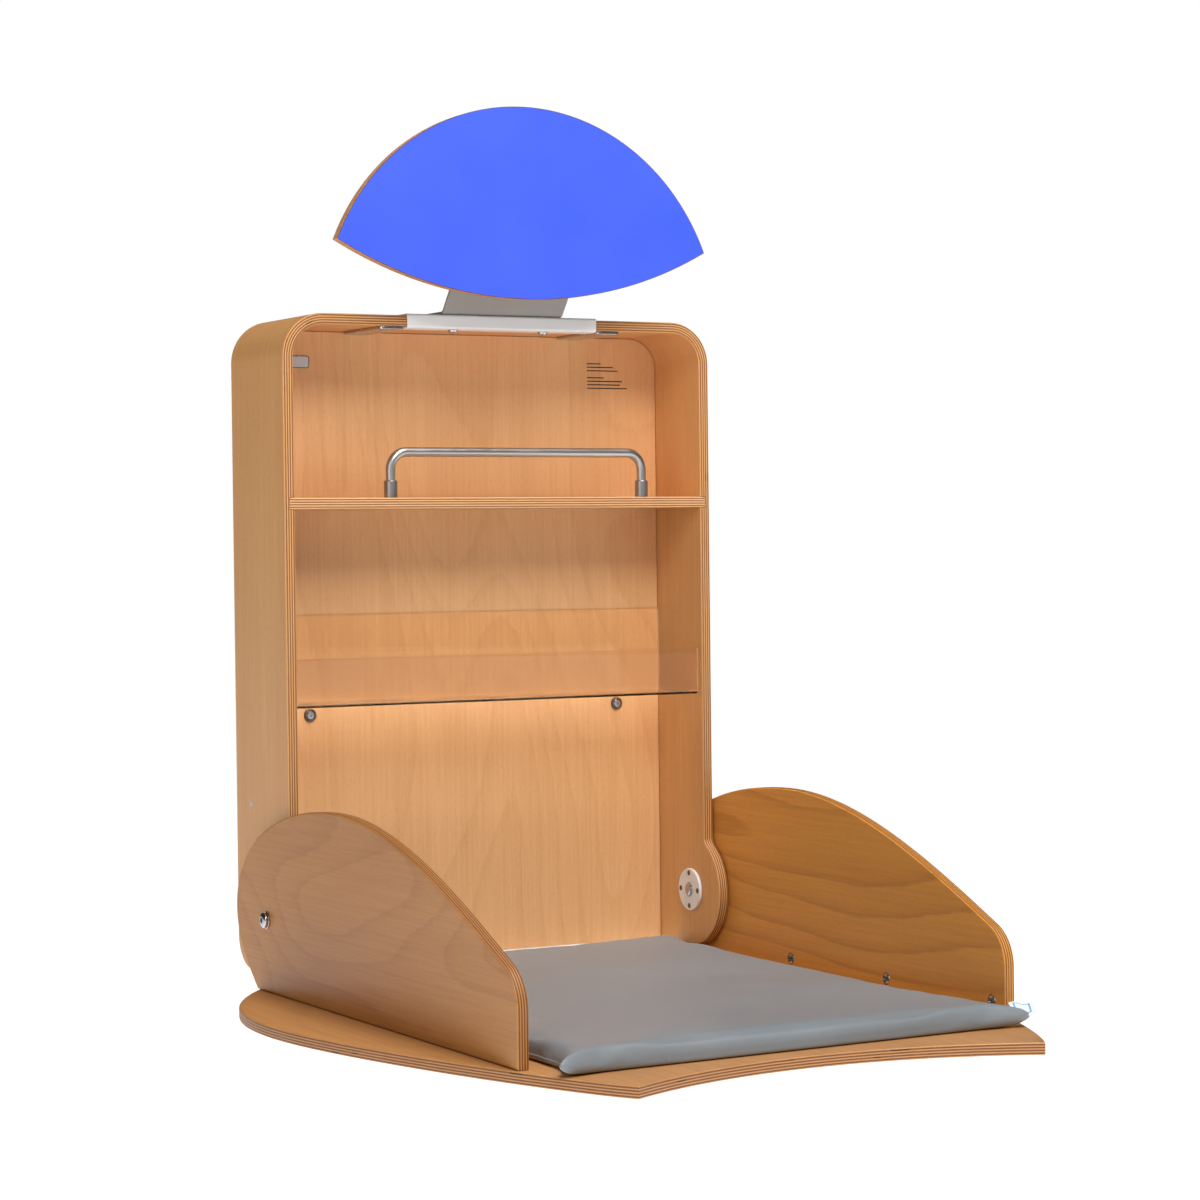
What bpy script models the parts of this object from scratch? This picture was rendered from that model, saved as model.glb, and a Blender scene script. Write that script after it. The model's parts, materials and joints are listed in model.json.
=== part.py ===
"""Wall-hung changing table: a shallow bent-plywood cabinet and a leaf that folds up against its front.

Metres, +Z up, -Y towards the user. The origin is on the wall, level with the two wall screws. Cabinet
pieces are placed from the centre of the hoop's rear bottom edge, leaf pieces from the pivot's axis.
"""

import math

import bmesh
import bpy
from mathutils import Vector

# Boards and fits
PLY = 0.012                     # hoop, shelf, header and leaf
PANEL = 0.009                   # back panel
FIT = 0.0003                    # between faces that touch
BOARD_CLEARANCE = 0.0005        # a board that is pushed in between two others

# Cabinet
CABINET_WIDTH = 0.520
CABINET_HEIGHT = 0.707
CABINET_DEPTH = 0.147           # the hoop's rear edge to its front edge
WALL_GAP = 0.012                # the battens keep the hoop this far off the wall
HOOP_RADIUS = 0.047             # outside of the bent corners
PANEL_SETBACK = 0.0374          # the hoop's rear edge to the back panel
NOSE_FILLET = 0.010             # where a side's front edge runs into its nose
REAR_CORNER = 0.036             # a side's lower rear corner
BATTEN_HEIGHT = 0.070
UPPER_BATTEN_DROP = 0.060       # the hoop's top to the upper batten
WALL_SCREW_HEIGHT = 0.275
WALL_SCREW_INSET = 0.0566       # from the inside of the hoop
SIDE_SCREW_HEIGHT = 0.181

# Shelf and guard rail
SHELF_TOP = 0.511
GROOVE = 0.006                  # the shelf's ends go this far into the sides
RAIL_RADIUS = 0.0052
RAIL_SPAN = 0.310
RAIL_OFFSET = 0.0254            # the rail is set to the right of centre
RAIL_RISE = 0.0495              # shelf to the tube's centre line
RAIL_BEND = 0.0187
RAIL_SETBACK = 0.016            # from the shelf's front edge
RAIL_FOOT_RADIUS = 0.0073
RAIL_FOOT_HEIGHT = 0.0185
RAIL_FOOT_CHAMFER = 0.001

# Tray
TRAY_SHEET = 0.003
TRAY_BEND = 0.005
TRAY_LIP = 0.052
TRAY_BACK = 0.097
TRAY_LIP_SETBACK = 0.0068       # from the cabinet's front edge
TRAY_CLEARANCE = 0.0015         # to each side
TRAY_ABOVE_SCREWS = 0.0125      # wall screws' axis to the underside of the tray

# Badge
BADGE_WIDTH = 0.040
BADGE_HEIGHT = 0.0135
BADGE_SHEET = 0.001
BADGE_CORNER = 0.0027
BADGE_DROP = 0.034              # the underside of the top to the badge's middle
BADGE_INSET = 0.041             # the inside of the hoop to the badge's middle

# Header and its bracket
HEADER_RISE = 0.0158            # the hoop's top to the lowest point of the header
HEADER_INSET = 0.0385           # the header's tips from the cabinet's sides
HEADER_CROWN = 0.1493           # its tips to its highest point
FACING = 0.0008
COVER_SHEET = 0.0015
COVER_HALF_WIDTH = 0.1154
COVER_FLANGE = 0.024
NECK_SHEET = 0.003
NECK_HALF_WIDTH = 0.073
NECK_TAIL = 0.052               # the bracket's foot on the top
NECK_LEAN = math.radians(39)    # from upright
NECK_BEND = 0.006
NECK_PLATE = 0.060              # the length behind the header
COVER_BOLT_HALF_SPAN = 0.055
COVER_BOLT_SETBACK = 0.012

# Straps
STRAP_SHEET = 0.003
STRAP_WIDTH = 0.030
STRAP_LENGTH = 0.100
STRAP_CENTRE = 0.132
STRAP_CORNER = 0.006
STRAP_SCREW_SPACING = 0.046

# Pivot
PIVOT_FORWARD = 0.117           # from the hoop's rear edge
PIVOT_HEIGHT = 0.063            # also the radius of the nose round it
SIDE_GAP = 0.0021               # cabinet side to leaf side
BUSH_RADIUS = 0.024
BUSH_FLANGE = 0.003
BUSH_CHAMFER = 0.0008
BUSH_SLEEVE_RADIUS = 0.011
BUSH_PROUD = 0.0015             # how far its sleeve stands out as a spacer
BUSH_SCREW_CIRCLE = 0.0187
BARREL_RADIUS = 0.008
BARREL_DOME = 0.0028
BARREL_BORE = 0.014             # depth of its threaded end
PIVOT_BOLT_RADIUS = 0.005
PIVOT_HEAD_RADIUS = 0.0082
PIVOT_HEAD_HEIGHT = 0.0045
PIVOT_HEAD_RIM = 0.45           # share of its height that is straight, under the dome
PIVOT_SOCKET = 0.0030           # half the width across its flats
WASHER_RADIUS = 0.0092
WASHER_SHEET = 0.0015

# Leaf
FLOOR_DROP = 0.014              # the cabinet's bottom to the leaf's floor
NEST_GAP = 0.007                # folded leaf to header
NEST_RADIUS = 0.458             # the leaf's front and the header's lower edge
LEAF_TIP_INSET = 0.0416         # the leaf's front tips from the cabinet's sides
FLOOR_OVERHANG = 0.088          # the leaf's widest place, outside its side panels
FLOOR_WIDEST = 0.213            # how far that is in front of the pivot
FLOOR_REAR = 0.0335             # the floor behind the pivot
FLOOR_REAR_INSET = 0.006        # the rear corners from the side panels' outer faces
SIDE_REAR = 0.086               # the side panels behind the pivot
SIDE_REAR_HEIGHT = 0.0079       # their rearmost point, above the pivot
SIDE_REAR_FOOT = 0.029          # behind the pivot, where they meet the floor
SIDE_CROWN = 0.126              # their highest point, above the pivot
SIDE_CROWN_FORWARD = 0.183
SIDE_FRONT_INSET = 0.068        # from the middle of the leaf's front edge
SHOULDER_RUN = 0.026
SHOULDER_DROP = 0.0397
SHOULDER_FOOT = 0.053           # the floor to the end of the shoulder
SHOULDER_SLOPE = math.radians(24.7)

# Lengths of the handles that shape the leaf's curves
TIP_HANDLE = 0.12               # leaving the floor's tip, as a share of its long side's run
TIP_SLOPE = 0.73                # how far that handle goes sideways for each step back
BELLY_HANDLES = (0.30, 0.45)    # ahead of the widest place and behind it, as shares of the runs
CORNER_HANDLE = 0.27            # arriving at the rear corner, as a share of the run
CORNER_SWING = 0.60             # how much of the overhang that handle covers
FOOT_HANDLE = (0.027, 0.023)    # a side panel's rear foot: rearwards and up
REAR_HANDLES = (0.036, 0.070)   # below and above its rearmost point
CROWN_REAR_HANDLE = 0.150
TOP_HANDLES = 0.32              # of the run from the crown to the shoulder
SHOULDER_HANDLES = 0.43         # of the shoulder's drop

# Leaf hardware
DOWEL_RADIUS = 0.0065
DOWEL_LENGTH = 0.010
DOWEL_RISE = 0.0176             # above the floor
DOWEL_FIRST = 0.190             # in front of the pivot
DOWEL_LAST_INSET = 0.023        # from the side panels' front edges
FLOOR_BOLT_RADIUS = 0.003
FLOOR_BOLT_HEAD = 0.006
BUFFER_WIDTH = 0.011
BUFFER_BEHIND = 0.030
BUFFER_AHEAD = 0.014

# Pad
PAD_THICKNESS = 0.021
PAD_SIDE_GAP = 0.005            # to the inside of the cabinet
PAD_BEHIND = 0.035              # behind the pivot
PAD_FRONT_INSET = 0.021         # from the middle of the leaf's front edge
PAD_CORNER = 0.012

# Wood and machine screws
SCREW_SHANK = 0.0015
SCREW_HEAD = 0.0031
SCREW_HEAD_DEPTH = 0.0016
SIDE_SCREW_LENGTH = 0.028
BUSH_SCREW_LENGTH = 0.011
STRAP_SCREW_LENGTH = 0.012
WALL_SHANK = 0.0025
WALL_HEAD = 0.0048
WALL_HEAD_RISE = 0.0004         # its middle above the rosette
WALL_SCREW_SHORT = 0.001        # its tip to the wall
ROSETTE_RADIUS = 0.0071
ROSETTE_HEIGHT = 0.0026
ROSETTE_SHEET = 0.0005
ROSETTE_LIP = 0.001
ROSETTE_ROUND = 0.0012
COVER_BOLT_SHANK = 0.003
COVER_BOLT_HEAD = 0.0055
COVER_BOLT_DOME = 0.0042
COVER_HEAD_HEIGHT = 0.003
COVER_HEAD_CHAMFER = 0.0015

# Worked out from the sizes above
HALF_WIDTH = CABINET_WIDTH / 2
INSIDE = HALF_WIDTH - PLY
UNDERSIDE = CABINET_HEIGHT - PLY
PANEL_FRONT = PANEL_SETBACK + PANEL
LEAF_INSIDE = HALF_WIDTH + SIDE_GAP
LEAF_OUTSIDE = LEAF_INSIDE + PLY
FLOOR_TOP = -(PIVOT_HEIGHT + FLOOR_DROP)
LEAF_REACH = CABINET_HEIGHT + HEADER_RISE - NEST_GAP - PIVOT_HEIGHT
LEAF_TIP = HALF_WIDTH - LEAF_TIP_INSET
SIDE_FRONT = LEAF_REACH - SIDE_FRONT_INSET
HEADER_TIP = HALF_WIDTH - HEADER_INSET
HEADER_FRONT = PIVOT_FORWARD - FLOOR_TOP + PLY
HEADER_BACK = HEADER_FRONT - FACING - FIT - PLY
TRAY_UNDERSIDE = WALL_SCREW_HEIGHT + TRAY_ABOVE_SCREWS

ARC_STEPS = 6                   # along a quarter circle
EDGE_STEPS = 12                 # along one of the leaf's long curves
TURN_STEPS = 20                 # round a turned piece
FINE_TURN_STEPS = 10            # round a small screw
SOCKET_STEPS = 6
WELD = 1e-6
BEYOND = 0.002                  # how far a cutter runs past what it cuts

# Directions that a turned piece's axis can take, as rotations of +Z
TOWARDS = {
    "+X": (0, math.pi / 2, 0),
    "-X": (0, -math.pi / 2, 0),
    "+Y": (-math.pi / 2, 0, 0),
    "-Y": (math.pi / 2, 0, 0),
    "+Z": (0, 0, 0),
    "-Z": (math.pi, 0, 0),
}
# Rotations that carry a flat outline into the YZ, XZ or XY plane
FACING_ALONG = {"X": (math.pi / 2, 0, math.pi / 2), "Y": (math.pi / 2, 0, 0), "Z": (0, 0, 0)}


# Scene, collections, origins and materials

def clear_scene():
    for obj in list(bpy.data.objects):
        bpy.data.objects.remove(obj, do_unlink=True)


def new_collection(name):
    collection = bpy.data.collections.new(name)
    bpy.context.scene.collection.children.link(collection)
    return collection


def new_origin(name, forward, height):
    """An empty that carries the pieces of one body."""
    origin = bpy.data.objects.new(name, None)
    origin.location = (0, -(WALL_GAP + forward), height - WALL_SCREW_HEIGHT)
    PARTS.objects.link(origin)
    return origin


def new_material(name, colour, roughness, metallic=0.0, transmission=0.0):
    material = bpy.data.materials.new(name)
    material.use_nodes = True
    shader = material.node_tree.nodes["Principled BSDF"]
    shader.inputs["Base Color"].default_value = (*colour, 1.0)
    shader.inputs["Roughness"].default_value = roughness
    shader.inputs["Metallic"].default_value = metallic
    shader.inputs["Transmission Weight"].default_value = transmission
    material.diffuse_color = (*colour, 1.0)
    return material


clear_scene()
PARTS = new_collection("changing_table")
CUTTERS = new_collection("cutters")
CABINET = new_origin("cabinet_origin", 0, 0)
LEAF = new_origin("leaf_pivot", PIVOT_FORWARD, PIVOT_HEIGHT)

BEECH = new_material("beech_plywood", (0.56, 0.33, 0.17), 0.4)
BATTEN_WOOD = new_material("batten_softwood", (0.62, 0.45, 0.27), 0.6)
BLUE = new_material("blue_laminate", (0.08, 0.14, 0.85), 0.35)
WHITE_COAT = new_material("white_powder_coat", (0.86, 0.86, 0.86), 0.45)
WHITE_PLASTIC = new_material("white_plastic", (0.85, 0.83, 0.79), 0.45)
STEEL = new_material("stainless_steel", (0.60, 0.60, 0.60), 0.25, metallic=1.0)
ACRYLIC = new_material("clear_acrylic", (0.95, 0.97, 0.97), 0.05, transmission=0.95)
RUBBER = new_material("black_rubber", (0.03, 0.03, 0.03), 0.7)
VINYL = new_material("grey_vinyl", (0.29, 0.28, 0.275), 0.5)
BADGE = new_material("badge_plate", (0.80, 0.80, 0.80), 0.4)


# Making solids

def place(obj, material, origin, location=(0, 0, 0), rotation=(0, 0, 0)):
    """Puts a piece under its body's origin, or a cutter (no material) among the cutters."""
    obj.parent = origin
    obj.location = location
    obj.rotation_euler = rotation
    if material is None:
        CUTTERS.objects.link(obj)
        obj.hide_render = True
        obj.display_type = "WIRE"
    else:
        PARTS.objects.link(obj)
        obj.data.materials.append(material)
    return obj


def shade_round(mesh):
    mesh.shade_smooth()
    mesh.set_sharp_from_angle(angle=math.radians(35))


def from_curve(curve_object, material, origin, rotation):
    """Makes a curve object a mesh with welded caps, in the same place, and removes the curve."""
    bpy.context.scene.collection.objects.link(curve_object)
    graph = bpy.context.evaluated_depsgraph_get()
    mesh = bpy.data.meshes.new_from_object(curve_object.evaluated_get(graph))
    name, location = curve_object.name, curve_object.location.copy()
    curve = curve_object.data
    bpy.data.objects.remove(curve_object)
    bpy.data.curves.remove(curve)
    bm = bmesh.new()
    bm.from_mesh(mesh)
    bmesh.ops.remove_doubles(bm, verts=bm.verts, dist=WELD)
    bm.to_mesh(mesh)
    bm.free()
    shade_round(mesh)
    mesh.name = name
    return place(bpy.data.objects.new(name, mesh), material, origin, location, rotation)


def poly_spline(curve, points, closed):
    spline = curve.splines.new("POLY")
    spline.points.add(len(points) - 1)
    for target, point in zip(spline.points, points):
        target.co = (*point, *[0] * (3 - len(point)), 1)
    spline.use_cyclic_u = closed


def board(name, outline, thickness, along, centre, material, origin):
    """A flat board: an outline in the plane across an axis, with its mid-plane at a place on that axis."""
    curve = bpy.data.curves.new(name, "CURVE")
    curve.dimensions = "2D"
    curve.fill_mode = "BOTH"
    curve.extrude = thickness / 2
    poly_spline(curve, outline, closed=True)
    obj = bpy.data.objects.new(name, curve)
    obj.location = [centre if axis == along else 0 for axis in "XYZ"]
    return from_curve(obj, material, origin, FACING_ALONG[along])


def folded_sheet(name, path, sheet, half_width, material, origin):
    """A sheet folded along a path in the YZ plane, the same all across its width."""
    curve = bpy.data.curves.new(name, "CURVE")
    curve.dimensions = "2D"
    curve.fill_mode = "NONE"
    curve.extrude = half_width
    poly_spline(curve, path, closed=False)
    obj = from_curve(bpy.data.objects.new(name, curve), material, origin, FACING_ALONG["X"])
    shell = obj.modifiers.new("Sheet", "SOLIDIFY")
    shell.thickness = sheet
    shell.offset = 0
    shell.use_even_offset = True
    return obj


def box(name, low, high, material, origin):
    size = [b - a for a, b in zip(low, high)]
    bm = bmesh.new()
    bmesh.ops.create_cube(bm, size=1)
    bmesh.ops.scale(bm, vec=size, verts=bm.verts)
    mesh = bpy.data.meshes.new(name)
    bm.to_mesh(mesh)
    bm.free()
    middle = [(a + b) / 2 for a, b in zip(low, high)]
    return place(bpy.data.objects.new(name, mesh), material, origin, middle)


def turned(name, profile, towards, location, material, origin, steps=TURN_STEPS, closed=False):
    """A profile of (radius, height) points, from the top down its outer side, turned round its axis."""
    bm = bmesh.new()
    verts = [bm.verts.new((radius, 0, height)) for radius, height in profile]
    for start, end in zip(verts, verts[1:]):
        bm.edges.new((start, end))
    if closed:
        bm.edges.new((verts[-1], verts[0]))
    mesh = bpy.data.meshes.new(name)
    bm.to_mesh(mesh)
    bm.free()
    obj = place(bpy.data.objects.new(name, mesh), material, origin, location, TOWARDS[towards])
    screw = obj.modifiers.new("Turn", "SCREW")
    screw.steps = screw.render_steps = steps
    screw.use_merge_vertices = True
    screw.merge_threshold = 1e-5
    return obj


def cut(target, cutter):
    boolean = target.modifiers.new("Cut " + cutter.name, "BOOLEAN")
    boolean.operation = "DIFFERENCE"
    boolean.object = cutter


def join(target, other):
    boolean = target.modifiers.new("Join " + other.name, "BOOLEAN")
    boolean.operation = "UNION"
    boolean.object = other


# Outlines

def arc(centre, radius, start, end, steps=ARC_STEPS):
    """Points along an arc, with its angles in degrees."""
    angles = [math.radians(start + (end - start) * i / steps) for i in range(steps + 1)]
    return [(centre[0] + radius * math.cos(a), centre[1] + radius * math.sin(a)) for a in angles]


def bezier(start, start_handle, end_handle, end, steps=EDGE_STEPS):
    """Points along a cubic curve, without the first."""
    points = []
    for i in range(1, steps + 1):
        t = i / steps
        weights = ((1 - t) ** 3, 3 * t * (1 - t) ** 2, 3 * t * t * (1 - t), t**3)
        knots = (start, start_handle, end_handle, end)
        points.append(tuple(sum(w * k[n] for w, k in zip(weights, knots)) for n in (0, 1)))
    return points


def filleted(points, radius, steps=4):
    """A path through 2D points, with its corners rounded."""
    path = [tuple(points[0])]
    for before, corner, after in zip(points, points[1:], points[2:]):
        corner = Vector(corner)
        back = (Vector(before) - corner).normalized()
        on = (Vector(after) - corner).normalized()
        half = back.angle(on) / 2
        centre = corner + (back + on).normalized() * (radius / math.sin(half))
        first = corner + back * (radius / math.tan(half)) - centre
        last = corner + on * (radius / math.tan(half)) - centre
        turn = first.angle_signed(last)
        for i in range(steps + 1):
            angle = -turn * i / steps
            path.append(
                (
                    centre.x + first.x * math.cos(angle) - first.y * math.sin(angle),
                    centre.y + first.x * math.sin(angle) + first.y * math.cos(angle),
                )
            )
    return path + [tuple(points[-1])]


def mirrored(half):
    """A closed outline from its right half, which runs from one point of the mirror line to the other."""
    return half + [(-x, y) for x, y in reversed(half) if abs(x) > WELD]


def dome(radius, rise, base, steps=5):
    """A dome's profile from its rim to its axis; a negative rise turns it upside down."""
    points = []
    for i in range(steps + 1):
        angle = math.pi / 2 * i / steps
        points.append((radius * round(math.cos(angle), 9), base + rise * math.sin(angle)))
    return points


def sagitta(radius, half_chord):
    return radius - math.sqrt(radius**2 - half_chord**2)


def rounded_rectangle(left, right, bottom, top, radius, steps=4):
    return (
        arc((right - radius, top - radius), radius, 0, 90, steps)
        + arc((left + radius, top - radius), radius, 90, 180, steps)
        + arc((left + radius, bottom + radius), radius, 180, 270, steps)
        + arc((right - radius, bottom + radius), radius, 270, 360, steps)
    )


def countersunk(head, shank, head_depth, length):
    return [(0, 0), (head, 0), (shank, -head_depth), (shank, -length), (0, -length)]


def countersink(head, shank, head_depth, length):
    """The hole for a countersunk screw, open above its head."""
    head, shank, end = head + FIT, shank + FIT, -length - FIT
    return [(0, BEYOND), (head, BEYOND), (head, 0), (shank, -head_depth), (shank, end), (0, end)]


def drill(name, radius, towards, location, low, high, targets, origin):
    """A round hole from low to high along a direction, cut from each target."""
    profile = [(0, high), (radius, high), (radius, low), (0, low)]
    cutter = turned(name, profile, towards, location, None, origin)
    for target in targets:
        cut(target, cutter)


def screw_in(name, sizes, towards, location, material, origin, targets):
    """A countersunk screw with its head's face at a place, and its hole in each target."""
    shape = dict(zip(("head", "shank", "head_depth", "length"), sizes))
    obj = turned(name, countersunk(**shape), towards, location, material, origin, FINE_TURN_STEPS)
    hole = turned(name + "_hole", countersink(**shape), towards, location, None, origin, FINE_TURN_STEPS)
    for target in targets:
        cut(target, hole)
    return obj


# Cabinet boards

def hoop_outline():
    straight = CABINET_HEIGHT - HOOP_RADIUS
    bend = (HALF_WIDTH - HOOP_RADIUS, straight)
    outer = [(HALF_WIDTH, 0)] + arc(bend, HOOP_RADIUS, 0, 90)
    inner = [(INSIDE, 0)] + arc(bend, HOOP_RADIUS - PLY, 0, 90)
    outer += [(-x, z) for x, z in reversed(outer)]
    inner += [(-x, z) for x, z in reversed(inner)]
    return outer + inner[::-1]


def front_relief():
    """What is cut away in front of the hoop's front edge and round its noses."""
    fillet_y = CABINET_DEPTH + NOSE_FILLET
    run = fillet_y - PIVOT_FORWARD
    rise = math.sqrt((PIVOT_HEIGHT + NOSE_FILLET) ** 2 - run**2)
    meets = math.degrees(math.atan2(rise, run))
    nose = arc((PIVOT_FORWARD, PIVOT_HEIGHT), PIVOT_HEIGHT, -90, meets, 2 * ARC_STEPS)
    fillet = arc((fillet_y, PIVOT_HEIGHT + rise), NOSE_FILLET, 180 + meets, 180, ARC_STEPS // 2)
    past = PIVOT_FORWARD + PIVOT_HEIGHT + 2 * BEYOND
    outline = nose + fillet + [(CABINET_DEPTH, CABINET_HEIGHT + BEYOND), (past, CABINET_HEIGHT + BEYOND)]
    outline += [(past, -BEYOND), (PIVOT_FORWARD, -BEYOND)]
    return [(-forward, height) for forward, height in outline]


def rear_relief():
    """What is cut away outside the rounded lower rear corners of the hoop's sides."""
    outline = arc((REAR_CORNER, REAR_CORNER), REAR_CORNER, 180, 270)
    outline += [(REAR_CORNER, -BEYOND), (-BEYOND, -BEYOND), (-BEYOND, REAR_CORNER)]
    return [(-forward, height) for forward, height in outline]


def make_hoop():
    depth = PIVOT_FORWARD + PIVOT_HEIGHT + BEYOND
    hoop = board("cabinet_hoop", hoop_outline(), depth, "Y", -depth / 2, BEECH, CABINET)
    for name, outline in (("hoop_front", front_relief()), ("hoop_rear", rear_relief())):
        cut(hoop, board(name, outline, CABINET_WIDTH + 2 * BEYOND, "X", 0, None, CABINET))
    for side, sign in SIDES:
        ends = sorted((sign * (INSIDE - BEYOND), sign * (INSIDE + GROOVE + FIT)))
        low = (ends[0], -CABINET_DEPTH - BEYOND, SHELF_TOP - PLY - FIT)
        high = (ends[1], -PANEL_FRONT, SHELF_TOP + FIT)
        cut(hoop, box("shelf_groove_" + side, low, high, None, CABINET))
    return hoop


def make_back_panel():
    edge = INSIDE - BOARD_CLEARANCE
    top = UNDERSIDE - BOARD_CLEARANCE
    radius = HOOP_RADIUS - PLY - BOARD_CLEARANCE
    half = [(edge, 0)] + arc((edge - radius, top - radius), radius, 0, 90)
    middle = PANEL_SETBACK + PANEL / 2
    return board("back_panel", mirrored(half), PANEL, "Y", -middle, BEECH, CABINET)


def make_shelf():
    end = INSIDE + GROOVE
    low = (-end, -CABINET_DEPTH, SHELF_TOP - PLY)
    return box("shelf", low, (end, -PANEL_FRONT - FIT, SHELF_TOP), BEECH, CABINET)


def make_batten(name, middle):
    end = INSIDE - BOARD_CLEARANCE
    low = (-end, -PANEL_SETBACK + FIT, middle - BATTEN_HEIGHT / 2)
    return box(name, low, (end, WALL_GAP, middle + BATTEN_HEIGHT / 2), BATTEN_WOOD, CABINET)


def make_badge():
    right, top = BADGE_INSET - INSIDE + BADGE_WIDTH / 2, UNDERSIDE - BADGE_DROP + BADGE_HEIGHT / 2
    outline = rounded_rectangle(right - BADGE_WIDTH, right, top - BADGE_HEIGHT, top, BADGE_CORNER)
    middle = PANEL_FRONT + FIT + BADGE_SHEET / 2
    board("badge_plate", outline, BADGE_SHEET, "Y", -middle, BADGE, CABINET)


# Guard rail and tray

def make_guard_rail():
    forward = CABINET_DEPTH - RAIL_SETBACK
    foot, crest = SHELF_TOP + FIT, SHELF_TOP + RAIL_RISE
    left, right = RAIL_OFFSET - RAIL_SPAN / 2, RAIL_OFFSET + RAIL_SPAN / 2
    path = filleted([(left, foot), (left, crest), (right, crest), (right, foot)], RAIL_BEND, ARC_STEPS)
    curve = bpy.data.curves.new("guard_rail", "CURVE")
    curve.dimensions = "3D"
    curve.bevel_depth = RAIL_RADIUS
    curve.bevel_resolution = 2
    curve.use_fill_caps = True
    poly_spline(curve, [(x, -forward, z) for x, z in path], closed=False)
    rail = from_curve(bpy.data.objects.new("guard_rail", curve), STEEL, CABINET, (0, 0, 0))
    radius, top = RAIL_FOOT_RADIUS, RAIL_FOOT_HEIGHT
    profile = [(0, top), (radius - RAIL_FOOT_CHAMFER, top), (radius, top - RAIL_FOOT_CHAMFER)]
    profile += [(radius, 0), (0, 0)]
    for (side, _), x in zip(SIDES, (left, right)):
        join(rail, turned("rail_foot_" + side, profile, "+Z", (x, -forward, foot), None, CABINET))


def make_tray():
    back = PANEL_FRONT + FIT + TRAY_SHEET / 2
    front = CABINET_DEPTH - TRAY_LIP_SETBACK - TRAY_SHEET / 2
    floor = TRAY_UNDERSIDE + TRAY_SHEET / 2
    corners = [(-back, TRAY_UNDERSIDE + TRAY_BACK), (-back, floor)]
    corners += [(-front, floor), (-front, TRAY_UNDERSIDE + TRAY_LIP)]
    path = filleted(corners, TRAY_BEND - TRAY_SHEET / 2)
    folded_sheet("acrylic_tray", path, TRAY_SHEET, INSIDE - TRAY_CLEARANCE, ACRYLIC, CABINET)


# Header, its bracket and the straps

def header_half():
    """Right half of the lens: along its lower edge from the middle to the tip, then along its crown."""
    low = CABINET_HEIGHT + HEADER_RISE
    tip = low + sagitta(NEST_RADIUS, HEADER_TIP)
    crown = (HEADER_TIP**2 + HEADER_CROWN**2) / (2 * HEADER_CROWN)
    lower = math.degrees(math.asin(HEADER_TIP / NEST_RADIUS))
    upper = math.degrees(math.asin(HEADER_TIP / crown))
    edge = arc((0, low + NEST_RADIUS), NEST_RADIUS, -90, -90 + lower, EDGE_STEPS)
    return edge + arc((0, tip + HEADER_CROWN - crown), crown, 90 - upper, 90, EDGE_STEPS)[1:]


def make_header():
    outline = mirrored(header_half())
    board("header_panel", outline, PLY, "Y", -(HEADER_BACK + PLY / 2), BEECH, CABINET)
    board("header_facing", outline, FACING, "Y", -(HEADER_FRONT - FACING / 2), BLUE, CABINET)


def make_edge_cover():
    half = COVER_SHEET / 2
    front = CABINET_DEPTH + FIT + half
    top, bottom = CABINET_HEIGHT + FIT + half, UNDERSIDE - FIT - half
    rear = CABINET_DEPTH - COVER_FLANGE
    path = filleted([(-rear, top), (-front, top), (-front, bottom), (-rear, bottom)], COVER_SHEET)
    return folded_sheet("edge_cover", path, COVER_SHEET, COVER_HALF_WIDTH, WHITE_COAT, CABINET)


def make_neck_bracket():
    foot = CABINET_HEIGHT + FIT + COVER_SHEET + FIT + NECK_SHEET / 2
    behind_header = HEADER_BACK - FIT - NECK_SHEET / 2
    knee = foot + (behind_header - CABINET_DEPTH) / math.tan(NECK_LEAN)
    corners = [(NECK_TAIL - CABINET_DEPTH, foot), (-CABINET_DEPTH, foot), (-behind_header, knee)]
    path = filleted(corners + [(-behind_header, knee + NECK_PLATE)], NECK_BEND)
    return folded_sheet("neck_bracket", path, NECK_SHEET, NECK_HALF_WIDTH, WHITE_COAT, CABINET)


def make_cover_bolts(targets):
    """Domed nuts under the top, with their bolts' heads on the bracket's foot, turned as one piece."""
    forward = CABINET_DEPTH - COVER_BOLT_SETBACK
    foot = CABINET_HEIGHT + 2 * FIT + COVER_SHEET + NECK_SHEET + FIT
    seat = UNDERSIDE - 2 * FIT - COVER_SHEET
    top = foot + COVER_HEAD_HEIGHT
    profile = [(0, top), (COVER_BOLT_HEAD - COVER_HEAD_CHAMFER, top)]
    profile += [(COVER_BOLT_HEAD, top - COVER_HEAD_CHAMFER), (COVER_BOLT_HEAD, foot)]
    profile += [(COVER_BOLT_SHANK, foot), (COVER_BOLT_SHANK, seat)]
    profile += dome(COVER_BOLT_HEAD, -COVER_BOLT_DOME, seat, 4)
    hole = COVER_BOLT_SHANK + FIT
    for side, sign in SIDES:
        location = (sign * COVER_BOLT_HALF_SPAN, -forward, 0)
        turned("cover_bolt_" + side, profile, "+Z", location, STEEL, CABINET, FINE_TURN_STEPS)
        name = "cover_bolt_hole_" + side
        drill(name, hole, "+Z", location, seat - BEYOND, foot + BEYOND, targets, CABINET)


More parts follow.
